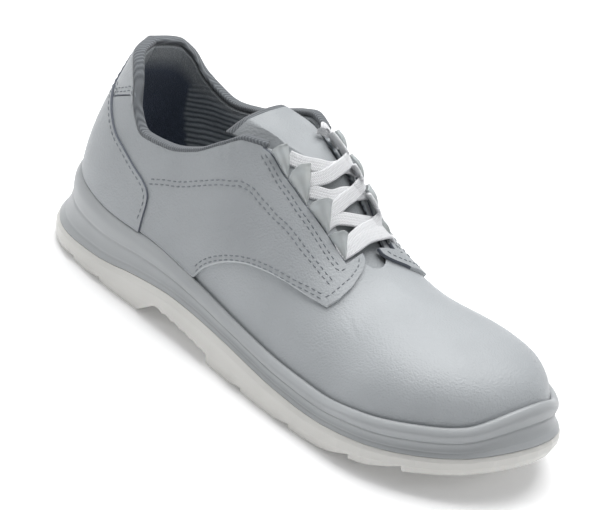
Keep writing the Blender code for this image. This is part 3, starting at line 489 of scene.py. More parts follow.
def overhang_of(x):
    """How far the joint of the sole stands proud of the foot of the upper."""
    share = x / UPPER_LENGTH
    table = monotone((0.0, 0.12, 0.30, 0.75, 0.92, 1.0),
                     (HEEL_OVERHANG, SIDE_OVERHANG * 1.1, SIDE_OVERHANG, SIDE_OVERHANG,
                      SIDE_OVERHANG * 1.1, TOE_OVERHANG))
    return table(share)


def middle_of_sole():
    """Middle of the sole's plan outline, on the ground."""
    foot_x = foot_and_crown(AROUND)[0][..., 0]
    plan = foot_plan(AROUND, overhang_of(foot_x) + BULGE)
    middle = 0.5 * (plan.min(axis=0) + plan.max(axis=0))
    return np.array([middle[0], middle[1], 0.0])


ORIGIN = middle_of_sole()


def mesh_piece(name, points, faces, materials, which=None, merge=2e-6):
    """Smooth mesh at the origin that rides on the shoe."""
    data = bpy.data.meshes.new(name)
    data.from_pydata((np.asarray(points, float) - ORIGIN).tolist(), [], faces)
    for made in materials:
        data.materials.append(made)
    if which is not None:
        data.polygons.foreach_set("material_index", np.asarray(which, np.int32).ravel())
    data.update()
    weld = bmesh.new()
    weld.from_mesh(data)
    bmesh.ops.remove_doubles(weld, verts=weld.verts, dist=merge)
    bmesh.ops.dissolve_degenerate(weld, edges=weld.edges, dist=1e-7)
    weld.to_mesh(data)
    weld.free()
    data.shade_smooth()
    piece = bpy.data.objects.new(name, data)
    bpy.context.scene.collection.objects.link(piece)
    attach(piece, "root")
    return piece


def quads(rows, columns, first=0, wrap_rows=False, wrap_columns=False, turned=False):
    """Four-cornered faces over a grid of points."""
    index = first + np.arange(rows * columns).reshape(rows, columns)
    if wrap_rows:
        index = np.concatenate([index, index[:1]])
    if wrap_columns:
        index = np.concatenate([index, index[:, :1]], 1)
    faces = np.stack([index[:-1, :-1], index[1:, :-1], index[1:, 1:], index[:-1, 1:]], -1)
    if turned:
        faces = faces[..., ::-1]
    return faces


def grid_piece(name, grid, materials, which=None, **shape):
    """Piece over one grid of points; which gives the material of its faces."""
    grid = np.asarray(grid, float)
    faces = quads(grid.shape[0], grid.shape[1], **shape)
    if which is not None:
        which = np.broadcast_to(which, faces.shape[:2])
    return mesh_piece(name, grid.reshape(-1, 3), faces.reshape(-1, 4).tolist(), materials, which)


def bumped(tree, shader, height, strength, depth, under=()):
    """Relief of the surface by a height, over another relief."""
    bump = add(tree, "ShaderNodeBump", [(height, "Height"), *under], Strength=strength, Distance=depth)
    tree.links.new(bump.outputs["Normal"], shader.inputs["Normal"])


def total(tree, first, second, operation="ADD"):
    """Sum of two values, or the outcome of another operation."""
    return add(tree, "ShaderNodeMath", [(first, 0), (second, 1)], operation=operation).outputs[0]


def grained(tree, place, shader, grain, depth):
    """Pebbled grain of a coated hide, over a broad soft unevenness."""
    pebble = add(tree, "ShaderNodeTexVoronoi", [(place, "Vector")], feature="SMOOTH_F1",
                 Scale=1.0 / grain, Smoothness=0.7)
    noise = add(tree, "ShaderNodeTexNoise", [(place, "Vector")], Scale=0.8 / grain, Detail=4.0)
    broad = add(tree, "ShaderNodeTexNoise", [(place, "Vector")], Scale=70.0, Detail=2.0)
    low = add(tree, "ShaderNodeBump", [(broad.outputs["Fac"], "Height")], Strength=0.5, Distance=0.25 * MM)
    bumped(tree, shader, total(tree, pebble.outputs["Distance"], noise.outputs["Fac"]), 0.6, depth,
           [(low.outputs["Normal"], "Normal")])


def tinted(tree, place, shader, light, dark, scale):
    """Base colour that drifts between two near tints."""
    noise = add(tree, "ShaderNodeTexNoise", [(place, "Vector")], Scale=scale, Detail=3.0)
    spread = add(tree, "ShaderNodeMapRange", [(noise.outputs["Fac"], "Value")],
                 From_Min=0.3, From_Max=0.7)
    tree.links.new(two_tints(tree, spread.outputs["Result"], light, dark), shader.inputs["Base Color"])


def microfibre(name, light, dark):
    """Polyurethane coated microfibre, embossed: satin. Its 0.5 mm pebbles are drawn at 0.9 mm."""
    made, tree, shader, place = material(name, Roughness=0.46, IOR=1.49, Sheen_Weight=0.06,
                                         Sheen_Roughness=0.4)
    grained(tree, place, shader, 0.9 * MM, 0.24 * MM)
    tinted(tree, place, shader, light, dark, 30.0)
    return made


# Lighter copy of the white microfibre, for the vamp and the heel tab: painted light on faces turned to the
# lamps.
HIDE_PAINTED_LIGHT = microfibre("white_microfibre_painted_light", "aaaeb1", "a3a7aa")

# Worn folds: place and way up of their two ends on the outer side, and depth in mm.
CREASES = ((0.345, 0.90, 0.372, 0.74, 0.22), (0.360, 0.94, 0.392, 0.80, 0.25),
           (0.378, 0.96, 0.402, 0.84, 0.20), (0.325, 0.84, 0.350, 0.72, 0.14),
           (0.655, 0.60, 0.700, 0.50, 0.12))


def creased(around, up):
    """Height of the soft folds that wear leaves below the collar and behind the toe cap."""
    share, _ = side_of(around)
    point = last_point(around, up)
    mirrored = np.where(np.mod(around, 2.0) <= 1.0, 1.0, -1.0)[..., None]
    spot = point * np.concatenate([np.ones_like(mirrored), mirrored, np.ones_like(mirrored)], -1)
    height = np.zeros(np.shape(share))
    for low, low_up, high, high_up, depth in CREASES:
        ends = last_point(np.array([low, high]), np.array([low_up, high_up]))
        run = ends[1] - ends[0]
        length = np.linalg.norm(run)
        along = ((spot - ends[0]) @ run) / length ** 2
        nearest = ends[0] + np.clip(along, 0.0, 1.0)[..., None] * run
        away = np.linalg.norm(spot - nearest, axis=-1) / MM
        fade = np.clip(4.0 * along * (1.0 - along), 0.0, 1.0)
        height -= depth * MM * fade * (np.exp(-(away / 1.1) ** 2) - 0.6 * np.exp(-((away - 2.2) / 1.2) ** 2))
    return height


def upper_skin():
    """Outer face of the wall, from under the insole to its turned edge."""
    top = top_up(FINE, PIPING_HEIGHT)
    count = len(FINE)
    mirror = (count - np.arange(count)) % count
    closed = (top > CLOSED_UP) & (top[mirror] > CLOSED_UP)
    top = np.where(closed, 1.0, top)
    rows = np.linspace(0.0, 1.0, 84)
    up = top[:, None] * rows
    around = np.repeat(FINE[:, None], len(rows), axis=1)
    outer = off_last(around, up, creased(around, up) * (rows < 0.97))
    outer[:, -1] = last_point(FINE, top)
    inner = inside_last(around, up, wall_depth(around, up))
    middle = inside_last(FINE, top, 0.5 * wall_depth(FINE, top))
    ridge = foot_and_crown(FINE)[3]
    outer[closed, -1] = ridge[closed]
    single = inner[:, -1].copy()
    for i in np.flatnonzero(closed):
        twins = closed & (np.linalg.norm(ridge - ridge[i], axis=1) < 0.01 * MM)
        inner[i, -1] = single[twins].mean(axis=0)
    edge = np.where(closed[:, None], outer[:, -1], middle)
    piece = grid_piece("upper_vamp", np.concatenate([outer, edge[:, None]], 1), [HIDE_PAINTED_LIGHT], wrap_rows=True)
    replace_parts(piece, "upper")
    return up, around, inner, middle, closed


upper_up, upper_around, upper_inner, upper_edge, upper_closed = upper_skin()


# Lining: dark blue-grey textile round the heel, ribbed mesh from a curved seam forward, and a
# band of grey knit that turns in over the collar. Glued to the inside of the wall.
def lining_cloth():
    """Heel textile, ribbed mesh and grey knit sewn together; each fades in by its own attribute."""
    made, tree, shader, place = material("sewn_textile_lining", Roughness=0.95, Sheen_Weight=0.15,
                                         Sheen_Roughness=0.6)
    mesh = add(tree, "ShaderNodeAttribute", attribute_name="mesh").outputs["Fac"]
    knit = add(tree, "ShaderNodeAttribute", attribute_name="knit").outputs["Fac"]
    loops = add(tree, "ShaderNodeTexVoronoi", [(place, "Vector")], Scale=1.0 / (0.55 * MM))
    turned = add(tree, "ShaderNodeMapping", [(place, "Vector")], Rotation=(0.0, 0.25, 0.0))
    ribs = add(tree, "ShaderNodeTexWave", [(turned.outputs["Vector"], "Vector")], wave_type="BANDS",
               bands_direction="Z", Scale=0.314 / (2.6 * MM), Distortion=1.5, Detail=1.0)
    ribbed = total(tree, ribs.outputs["Fac"], mesh, "MULTIPLY")
    bumped(tree, shader, total(tree, ribbed, loops.outputs["Distance"]), 0.9, 0.35 * MM)
    tints = [two_tints(tree, loops.outputs["Distance"], "505a6c", "727c90"),
             two_tints(tree, ribs.outputs["Fac"], "7a838b", "d0d6da"),
             two_tints(tree, loops.outputs["Distance"], "8a9094", "bcc0c3")]
    first = add(tree, "ShaderNodeMix", [(mesh, "Factor"), (tints[0], 6), (tints[1], 7)], data_type="RGBA")
    second = add(tree, "ShaderNodeMix", [(knit, "Factor"), (first.outputs[2], 6), (tints[2], 7)],
                 data_type="RGBA")
    tree.links.new(second.outputs[2], shader.inputs["Base Color"])
    return made


def lining():
    """Inner face of the wall, closed to its turned edge, with the seams of its three textiles."""
    grid = np.concatenate([upper_inner, upper_edge[:, None]], 1)
    grid[upper_closed, -1] = upper_inner[upper_closed, -1]
    share, _ = side_of(upper_around)
    height = last_point(upper_around, upper_up)[..., 2]
    below = (height[:, -1:] - height) / MM
    seam = 0.105 + 0.018 * np.minimum(((below - 22.0) / 18.0) ** 2, 1.6)
    mesh = np.clip((share - seam) / 0.003, 0.0, 1.0)
    band = 3.5 + 11.0 * np.clip((0.160 - share) / 0.05, 0.0, 1.0)
    knit = np.clip((band - below) / np.maximum(0.6 * band, 1.5), 0.0, 1.0)
    knit = knit * np.clip((0.44 - share) / 0.01, 0.0, 1.0)
    piece = grid_piece("upper_lining", grid, [lining_cloth()], wrap_rows=True, turned=True)
    tree = KDTree(len(grid.reshape(-1, 3)))
    for k, spot in enumerate(grid.reshape(-1, 3) - ORIGIN):
        tree.insert(Vector(spot), k)
    tree.balance()
    for name, values in (("mesh", mesh), ("knit", knit)):
        table = np.concatenate([values, values[:, -1:]], 1).ravel()
        layer = piece.data.attributes.new(name, "FLOAT", "POINT")
        nearest = [tree.find(vertex.co)[1] for vertex in piece.data.vertices]
        layer.data.foreach_set("value", table[nearest])


lining()


# Quarters: two side panels over the upper, stitched down, from under the heel counter to the
# rounded front end of the lacing. Their lower front edge is an arch with a turned edge, tinted
# lighter than the panel as a painted highlight.
PANEL = 1.2 * MM
GAP = 0.3 * MM
ON_QUARTER = 2 * GAP + PANEL

# Clearances between panel edges, as shares around and up, and above the lip of the midsole.
EDGE_CLEAR = 0.008
LIP_CLEAR = 1.4 * MM

# Free edge of the heel counter: at each share of the way up the section, how far around from
# the heel it reaches.
COUNTER_UP = (0.31, 0.385, 0.44, 0.51, 0.585, 0.63, 0.68, 0.75, 0.84)
COUNTER_REACH = (0.245, 0.242, 0.232, 0.195, 0.150, 0.095, 0.062, 0.050, 0.044)

# Lower edge of the heel tab: at each place around from the heel, its share of the way up.
TAB_AT = (0.000, 0.044, 0.054, 0.066, 0.090, 0.105, 0.125, 0.147)
TAB_UP = (0.860, 0.860, 0.760, 0.680, 0.645, 0.705, 0.810, 0.930)

# Lower edge of the quarter in front of its foot, an arch over the vamp, and its front edge
# around the end of the facing.
ARCH_AT = (0.365, 0.385, 0.403, 0.425, 0.458, 0.492, 0.547, 0.590, 0.623)
ARCH_UP = (0.075, 0.185, 0.245, 0.300, 0.350, 0.380, 0.445, 0.495, 0.535)
FRONT_AT = (0.608, 0.612, 0.614, 0.623, 0.633, 0.638)
FRONT_LOW = (0.508, 0.516, 0.525, 0.537, 0.620, 0.730)
FRONT_HIGH = (0.880, 0.935, 0.930, 0.870, 0.750)

# Cut edge of the quarter beside the ledge.
CUT_AT = (0.400, 0.425, 0.465, 0.512, 0.562, 0.600)
CUT_UP = (0.940, 0.920, 0.825, 0.775, 0.790, 0.795)

# Columns of the quarter: over the counter's top, then from its upright edge to the front end,
# and where its top leaves the collar.
QUARTER_AT = (0.100, 0.249, 0.254, 0.560, 0.638)
COLLAR_END = 0.400
TAB_EDGE = monotone(TAB_AT, TAB_UP)


def above_lip(around):
    """Way up the section to just above the lip of the midsole."""
    lip = height_of("rim", foot_and_crown(around)[0][..., 0]) + LIP_CLEAR
    return up_to(around, lip, 0.0, 0.7)


def below_piping(around):
    """Way up to the edge that the collar's panels share under the piping."""
    return collar_up(around, PIPING_HEIGHT + 4 * GAP)


def tab_low(around):
    """Way up to the lower edge of the heel tab."""
    share, _ = side_of(around)
    return np.minimum(TAB_EDGE(share) + EDGE_CLEAR, below_piping(around) - 2 * EDGE_CLEAR)


# Darker copy of the same white microfibre, for the quarters and the heel counter: painted shade.
HIDE_PAINTED_SHADE = microfibre("white_microfibre_painted_shade", "a1a5a8", "9a9ea1")


def cut_edge(name, tint):
    """Cut or folded edge of a panel: matt, with fine fibres."""
    made, tree, shader, place = material(name, Roughness=0.75)
    grained(tree, place, shader, 0.4 * MM, 0.06 * MM)
    tinted(tree, place, shader, tint, tint, 200.0)
    return made


DARK_EDGE = cut_edge("dark_blue_grey_cut_edge", "686d76")
# The folded edge's light tint is a painted highlight along its rounded turn.
EDGE_PAINTED_HIGHLIGHT = cut_edge("folded_edge_painted_highlight", "bcc0c2")


def panel(name, around, up, far, materials, turned=False, sides=(1, 1, 1, 1), radius=0.55 * MM, strips=3,
          dark_from=0.0):
    """Sheet whose borders roll over and go down to the upper. Sides: material of each border."""
    steps = ((0.0, 0.05 * MM), (0.0, far - radius), (0.35, far - 0.3 * radius), (1.0, far))

    def bordered(grid, axis):
        grid = np.moveaxis(grid, axis, 0)
        first = [grid[0] + (grid[1] - grid[0]) * share for share, _ in steps[:3]]
        last = [grid[-1] + (grid[-2] - grid[-1]) * share for share, _ in steps[2::-1]]
        return np.moveaxis(np.concatenate([np.stack(first), grid[1:-1], np.stack(last)]), 0, axis)

    around, up = (bordered(bordered(grid, 0), 1) for grid in np.broadcast_arrays(around, up))
    height = np.full(around.shape, far) + creased(around, up)
    for axis in (0, 1):
        for i, (_, value) in enumerate(steps[:3]):
            for k in (i, -1 - i):
                row = [slice(None), slice(None)]
                row[axis] = k
                height[tuple(row)] = np.minimum(height[tuple(row)], value)
    which = np.zeros((around.shape[0] - 1, around.shape[1] - 1), int)
    which[:strips], which[-strips:] = sides[0], sides[1]
    share, _ = side_of(around[1:, -1:])
    which[:, :strips] = sides[2]
    which[:, -strips:] = np.where(share > dark_from, sides[3], 0)
    return grid_piece(name, off_last(around, up, height), materials, which=which, turned=turned)


def quarter(name, node, turn):
    share = np.concatenate([np.linspace(QUARTER_AT[0] - 0.012, QUARTER_AT[1] - 0.008, 60),
                            np.linspace(QUARTER_AT[2] - 0.012, QUARTER_AT[3], 110)[:-1],
                            np.linspace(QUARTER_AT[3], QUARTER_AT[4], 60)])
    around = share if turn > 0 else 2.0 - share
    lip = above_lip(around) - 0.015
    counter_top = np.interp(share, COUNTER_REACH[::-1], COUNTER_UP[::-1]) - 0.02
    arch = np.maximum(monotone(ARCH_AT, ARCH_UP)(share), lip)
    bottom = np.where(share < QUARTER_AT[2] - 0.010, counter_top, arch)
    bottom = np.where(share > ARCH_AT[-1], np.interp(share, FRONT_AT, FRONT_LOW), bottom)
    tab = np.where(share < TAB_AT[-1], tab_low(around) - 0.004, 1.0)
    cut = np.where(share > COLLAR_END, monotone(CUT_AT, CUT_UP)(share), 1.0)
    top = np.minimum(np.minimum(tab, collar_up(around, PIPING_HEIGHT - 0.4 * MM)), cut)
    held = np.interp(FRONT_AT[0], share, top)
    top = np.where(share > FRONT_AT[0], monotone(FRONT_AT, (held,) + FRONT_HIGH)(share), top)
    level = np.linspace(0.0, 1.0, 70)[None, :]
    up = bottom[:, None] + (top - bottom)[:, None] * level
    piece = panel(name, around[:, None], up, ON_QUARTER, [HIDE_PAINTED_SHADE, DARK_EDGE, EDGE_PAINTED_HIGHLIGHT],
                  turned=turn < 0, sides=(0, 2, 2, 1), dark_from=0.418)
    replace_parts(piece, node)


quarter("quarter_outer_panel", "quarter_outer", 1)
quarter("quarter_inner_panel", "quarter_inner", -1)


# Heel counter and tab: a thick panel that wraps the heel, its dark core showing at the cut edge,
# and a smaller one across the back of the collar.
COUNTER = 2.2 * MM
ON_COUNTER = 2 * GAP + COUNTER
ON_TAB = GAP + PANEL + 0.7 * MM
COUNTER_AT = (0.000, 0.015, 0.030, 0.044, 0.050, 0.056, 0.062, 0.078, 0.095, 0.113, 0.131, 0.150,
              0.165, 0.180, 0.195, 0.214, 0.232, 0.242, 0.245)


def heel_counter():
    share = np.interp(np.linspace(0.0, 1.0, 90), np.linspace(0.0, 1.0, len(COUNTER_AT)), COUNTER_AT)
    around = np.concatenate([-share[:0:-1], share])[:, None]
    level = np.linspace(0.0, 1.0, 70)[None, :]
    low = above_lip(around) - 0.015
    reach = monotone(COUNTER_REACH[::-1], COUNTER_UP[::-1])(np.abs(around))
    up = low + (reach - low) * level
    piece = panel("heel_counter", around, up, ON_COUNTER, [HIDE_PAINTED_SHADE, DARK_EDGE], sides=(1, 1, 0, 1))
    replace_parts(piece, "counter")


def heel_tab():
    around = np.linspace(-TAB_AT[-1], TAB_AT[-1], 110)[:, None] * np.ones(40)
    level = np.linspace(0.0, 1.0, 40)[None, :]
    top = collar_up(around, PIPING_HEIGHT - 0.4 * MM)
    low = tab_low(around)
    # The tab takes the lighter copy of the hide: painted light.
    piece = panel("heel_tab_panel", around, low + (top - low) * level, ON_TAB, [HIDE_PAINTED_LIGHT, DARK_EDGE],
                  sides=(0, 0, 1, 0))
    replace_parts(piece, "heel_tab")


heel_counter()
heel_tab()


# Collar piping: a knitted grey binding folded over the collar's edge, from facing to facing.
PIPING_END = 0.410


def knitted(name, light, dark):
    """Narrow knit bound on the bias: dull, with slanting ribs a millimetre apart."""
    made, tree, shader, place = material(name, Roughness=0.95, Sheen_Weight=0.2, Sheen_Roughness=0.5)
    turned = add(tree, "ShaderNodeMapping", [(place, "Vector")], Rotation=(0.0, 0.6, 0.3))
    ribs = add(tree, "ShaderNodeTexWave", [(turned.outputs["Vector"], "Vector")], wave_type="BANDS",
               bands_direction="X", Scale=0.314 / (1.1 * MM), Distortion=0.8)
    fluff = add(tree, "ShaderNodeTexNoise", [(place, "Vector")], Scale=1800.0, Detail=3.0)
    bumped(tree, shader, total(tree, ribs.outputs["Fac"], fluff.outputs["Fac"]), 0.8, 0.3 * MM)
    tree.links.new(two_tints(tree, ribs.outputs["Fac"], dark, light), shader.inputs["Base Color"])
    return made


BIAS_KNIT = knitted("grey_bias_knit", "74787c", "5a5e62")


def outward(piece):
    """Turn the faces of a closed piece to the outside."""
    shape = bmesh.new()
    shape.from_mesh(piece.data)
    bmesh.ops.recalc_face_normals(shape, faces=shape.faces)
    shape.to_mesh(piece.data)
    shape.free()


def piping():
    side = np.linspace(-PIPING_END - 0.012, PIPING_END + 0.012, 420)
    top = collar_up(side, PIPING_HEIGHT)
    depth = wall_depth(side, top)
    point = last_point(side, top)
    normal = unit(last_normal(side, top) * (1.0, 1.0, 0.0))
    middle = 0.5 * (GAP + PANEL - depth)
    half = 0.5 * (GAP + PANEL + depth)
    rings = []
    for angle in np.linspace(0.0, 2.0 * np.pi, 25)[:-1]:
        width, height = math.cos(angle), math.sin(angle)
        width = math.copysign(abs(width) ** 0.6, width)
        height = math.copysign(abs(height) ** 0.75, height)
        ring = point + (middle + half * width * 1.02)[:, None] * normal
        ring[:, 2] += 0.5 * PIPING_HEIGHT * (1.0 + 0.05 + height) - 0.2 * MM
        rings.append(ring)
    grid = np.stack(rings, 1)
    count = grid.shape[1]
    faces = quads(len(grid), count, wrap_columns=True).reshape(-1, 4).tolist()
    points = np.concatenate([grid.reshape(-1, 3), grid[:1].mean(axis=1), grid[-1:].mean(axis=1)])
    first, last = len(points) - 2, len(points) - 1
    for i in range(count):
        j = (i + 1) % count
        faces.append([first, j, i])
        faces.append([last, last - 1 - count + i, last - 1 - count + j])
    piece = mesh_piece("collar_binding", points, faces, [BIAS_KNIT])
    outward(piece)
    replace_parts(piece, "collar_piping")


piping()


# Tongue: padded microfibre under the throat, bound along its free end with the same grey knit.
TONGUE = 3.0 * MM

# Its half width under the ledges, its front end under the vamp, the place where it leaves the
# ledges, and its top edge from side to side in instep heights (side, x, y, z).
TONGUE_HALF = 19.0 * MM
TONGUE_FRONT = 0.70
TONGUE_FREE = 0.440
TONGUE_TOP = ((-1.0, -0.5, 0.0, 0.5, 1.0), (0.76, 0.80, 0.82, 0.81, 0.78),
              (-0.19, -0.11, 0.0, 0.10, 0.17), (0.90, 0.985, 1.015, 1.005, 0.93))


def across_up(around, gap, shift=0.0):
    """Way up to a distance from the middle of the throat, or to the crown where that is wider."""
    _, outer = side_of(around)

    def outside(up):
        return np.where(outer, -1.0, 1.0) * (last_point(around, up)[..., 1] - shift) - gap

    shape = np.broadcast(around, gap).shape
    return bisect(outside, np.full(shape, 0.3), np.ones(shape))


def crown_bridge(around, side):
    """Point inside the last over the throat: side runs from the outer edge (-1) to the inner (1)."""
    around, side = np.broadcast_arrays(np.asarray(around, float), np.asarray(side, float))
    ends = []
    for turn, reach in ((around, -side), (2.0 - around, side)):
        up = across_up(turn, np.maximum(reach, 0.0) * TONGUE_HALF)
        ends.append((inside_last(turn, up, wall_depth(turn, up) + 2 * GAP), up))
    (outer, outer_up), (inner, inner_up) = ends
    width = np.maximum(inner[..., 1] - outer[..., 1], 0.01 * MM)
    blend = np.clip((side * TONGUE_HALF - outer[..., 1]) / width, 0.0, 1.0)
    blend = np.where((side < 0) & (outer_up < 1.0 - 1e-6), 0.0, blend)
    blend = np.where((side > 0) & (inner_up < 1.0 - 1e-6), 1.0, blend)
    return outer * (1 - blend)[..., None] + inner * blend[..., None]


def woven(name, light, dark, thread, depth=0.12):
    """Warp-knit textile: dull, in loops of one thread pitch."""
    made, tree, shader, place = material(name, Roughness=0.95, Sheen_Weight=0.15, Sheen_Roughness=0.6)
    loops = add(tree, "ShaderNodeTexVoronoi", [(place, "Vector")], Scale=1.0 / thread)
    bumped(tree, shader, loops.outputs["Distance"], 0.8, depth * MM)
    tree.links.new(two_tints(tree, loops.outputs["Distance"], dark, light), shader.inputs["Base Color"])
    return made


# Darker copy of the same white microfibre, for the tongue: painted shade.
TONGUE_COPY_PAINTED_SHADE = microfibre("tongue_microfibre_painted_shade", "9ca0a3", "95999c")
MESH_LINING = woven("grey_mesh_lining", "a8afb5", "5f666d", 0.6 * MM, depth=0.25)


def soften(rows, times):
    """Even out rows of values in place, with the first and the last row held."""
    for _ in range(times):
        rows[1:-1] = 0.25 * rows[:-2] + 0.5 * rows[1:-1] + 0.25 * rows[2:]


def tongue():
    side = np.linspace(-1.0, 1.0, 61)
    around = np.linspace(TONGUE_FRONT, TONGUE_FREE, 70)
    held = crown_bridge(around[:, None], side[None, :])
    curves = [monotone(TONGUE_TOP[0], TONGUE_TOP[i])(side) for i in (1, 2, 3)]
    edge = np.stack(curves, -1) * INSTEP_HEIGHT
    start = held[-1]
    pull = held[-1] - held[-9]
    pull *= (np.linalg.norm(edge - start, axis=-1) / np.linalg.norm(pull, axis=-1))[:, None]
    rows = [held]
    for share in np.linspace(0.0, 1.0, 41)[1:]:
        near, far = (1 - share) ** 2, share ** 2
        rows.append((near * start + 2 * share * (1 - share) * (start + 0.3 * pull) + far * edge)[None])
    outer = np.concatenate(rows)
    soften(outer.swapaxes(0, 1), 6)
    normal = np.cross(np.gradient(outer, axis=1), np.gradient(outer, axis=0))
    normal = unit(normal * np.sign(normal[0, len(side) // 2, 2]))
    for _ in range(20):
        soften(normal, 1)
        soften(normal.swapaxes(0, 1), 1)
    across = np.minimum(1.0, (1.0 - np.abs(side)) / 0.16)[None, :]
    free = np.minimum(1.0, (len(outer) - 1 - np.arange(len(outer))) / 6.0)[:, None]
    round_off = np.sqrt(np.clip(1.0 - (1.0 - np.minimum(across, free)) ** 2, 0.0, 1.0))
    middle = outer - 0.5 * TONGUE * normal
    half = (0.5 * TONGUE * round_off * np.minimum(1.0, 0.3 + 1.6 * (1.0 - np.abs(side))))[..., None]
    top, bottom = middle + half * normal, middle - half * normal
    size = outer.shape[:2]
    points = np.concatenate([top.reshape(-1, 3), bottom.reshape(-1, 3)])
    faces = np.concatenate([quads(*size), quads(*size, first=size[0] * size[1], turned=True)])
    bound = np.zeros((size[0] - 1, size[1] - 1), int)
    bound[-4:] = 1
    lower = np.full(bound.shape, 2)
    lower[:, :bound.shape[1] // 2] = 0
    which = np.concatenate([bound, lower])
    piece = mesh_piece("tongue_pad", points, faces.reshape(-1, 4).tolist(),
                       [TONGUE_COPY_PAINTED_SHADE, BIAS_KNIT, MESH_LINING], which, merge=1e-5)
    outward(piece)
    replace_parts(piece, "tongue")


tongue()


# Insole: a foam footbed with a dark textile face, lying in the cup of the sole.
INSOLE = 4.0 * MM
HEEL_LINING = woven("dark_heel_lining", "323843", "20242d", 0.5 * MM)

# Heel and toe axes of the sole, about which its plan outline turns.
HEEL_AXIS = 0.155
TOE_AXIS = 0.830


def spine(around):
    """Middle line of the sole that each section runs to."""
    x = foot_and_crown(around)[0][..., 0]
    return np.clip(x, HEEL_AXIS * UPPER_LENGTH, TOE_AXIS * UPPER_LENGTH)


def level_ring(plan, height):
    """Ring from plan points and heights."""
    return np.concatenate([plan, np.asarray(height)[..., None]], -1)


def spine_ring(around, height):
    """Ring that lies on the spine at a height along it."""
    x = spine(around)
    return np.stack([x, np.zeros_like(x), height(x)], -1)


def insole():
    foot_x = foot_and_crown(FINE)[0][..., 0]
    floor_at = height_of("floor", foot_x)
    rings = []
    middle = spine_ring(FINE, lambda x: height_of("floor", x) + INSOLE)
    edge = level_ring(foot_plan(FINE, -(WALL + 2 * GAP)), floor_at + INSOLE)
    for share in np.linspace(0.0, 1.0, 24):
        rings.append(middle + (edge - middle) * share)
    for inset, drop in ((0.0, 0.8), (0.0, INSOLE / MM - 0.5), (0.6, INSOLE / MM)):
        rings.append(level_ring(foot_plan(FINE, -(WALL + 2 * GAP + inset * MM)),
                                floor_at + INSOLE - drop * MM))
    rings[23] = level_ring(foot_plan(FINE, -(WALL + 2 * GAP + 0.8 * MM)), floor_at + INSOLE)
    rings.append(spine_ring(FINE, lambda x: height_of("floor", x)))
    piece = grid_piece("footbed", np.stack(rings, 1), [HEEL_LINING], wrap_rows=True)
    outward(piece)
    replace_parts(piece, "insole")


insole()


# Midsole: poured polyurethane, light grey, with a rounded bead under the upper, a soft crease
# below it and a hollow side that widens to the tread. Moulded on, so it follows the upper.
RIM = 3.4 * MM

# Side wall of the sole, from the rim down: the share of the way from the rim to the joint, and
# the distance from the upper as a share of the rim's width plus a share of the overhang.
SOLE_WALL = (
    (0.00, 0.45, 0.00),
    (0.06, 1.00, 0.00),
    (0.22, 1.35, 0.00),
    (0.40, 1.20, 0.05),
    (0.50, 0.95, 0.20),
    (0.75, 0.45, 0.55),
    (1.00, 0.00, 1.00),
)


def rim_up(around):
    """Way up the section to the rim of the midsole."""
    return up_to(around, height_of("rim", foot_and_crown(around)[0][..., 0]), 0.0, 0.6)


def poured(name, light, dark, gloss):
    """Moulded skin of a sole: closed and smooth, with a soft sheen and faint clouds."""
    made, tree, shader, place = material(name, Roughness=gloss, IOR=1.5)
    grained(tree, place, shader, 0.5 * MM, 0.015 * MM)
    tinted(tree, place, shader, light, dark, 22.0)
    return made


FOAM = poured("light_grey_polyurethane", "a7aaac", "a1a4a6", 0.42)


def midsole():
    foot_x = foot_and_crown(FINE)[0][..., 0]
    floor_at, rim, joint = (height_of(name, foot_x) for name in ("floor", "rim", "joint"))
    rim_at = rim_up(FINE)
    overhang = overhang_of(foot_x)
    rings = [spine_ring(FINE, lambda x: height_of("floor", x) - GAP),
             level_ring(foot_plan(FINE, GAP), floor_at - GAP)]
    for share in np.linspace(0.1, 1.0, 8):
        rings.append(off_last(FINE, share * rim_at, GAP))
    rim_plan = rings[-1][:, :2]
    outward_way = foot_plan(FINE, 1.0) - foot_plan(FINE, 0.0)
    foot = foot_plan(FINE, 0.0)
    drops, rim_outs, joint_outs = zip(*SOLE_WALL)
    rim_curve, joint_curve = monotone(drops, rim_outs), monotone(drops, joint_outs)
    for drop in np.concatenate([np.linspace(0.0, 0.5, 22), np.linspace(0.5, 1.0, 26)[1:]]):
        near = rim_plan + rim_curve(drop) * RIM * outward_way
        far = foot + overhang[:, None] * outward_way
        blend = joint_curve(drop)
        rise = 0.5 * MM * max(0.0, 1.0 - drop / 0.06)
        plan = near * (1 - blend) + far * blend
        groove = 0.45 * MM * math.exp(-((drop - 0.50) / 0.035) ** 2)
        groove += 0.25 * MM * math.exp(-((drop - 0.86) / 0.02) ** 2)
        rings.append(level_ring(plan - groove * outward_way, rim + (joint - rim) * drop + rise))
    rings.append(spine_ring(FINE, lambda x: height_of("joint", x)))
    piece = grid_piece("midsole_foam", np.stack(rings, 1), [FOAM], wrap_rows=True)
    outward(piece)
    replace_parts(piece, "midsole")


midsole()


# Outsole: off-white rubber tread. Its solid already has the lugs, the waist and the wedge
# cuts that the photo shows at the edge, so it keeps its shape and takes the material.
TREAD = poured("off_white_tread", "d4d3cf", "cdccc8", 0.4)
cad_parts["outsole"].data.materials[0] = TREAD


# Lace loops: moulded translucent film, four on each ledge. Each is a hood that stands up behind
# and tapers to a tack in front, open to the throat, with a thick rear rim.
LOOP_AT = (0.434, 0.484, 0.536, 0.582)
LOOP_MIDDLE = 15.6 * MM
LOOP_RISE = 7.0 * MM


def ledge_at(x, turn):
    """Place around the loop where the lacing ledge passes a place along the shoe."""
    def short(share):
        around = share if turn > 0 else 2.0 - share
        return x - last_point(around, across_up(around, LOOP_MIDDLE, THROAT_SHIFT))[..., 0]

    return bisect(short, np.full(np.shape(x), 0.40), np.full(np.shape(x), 0.62))


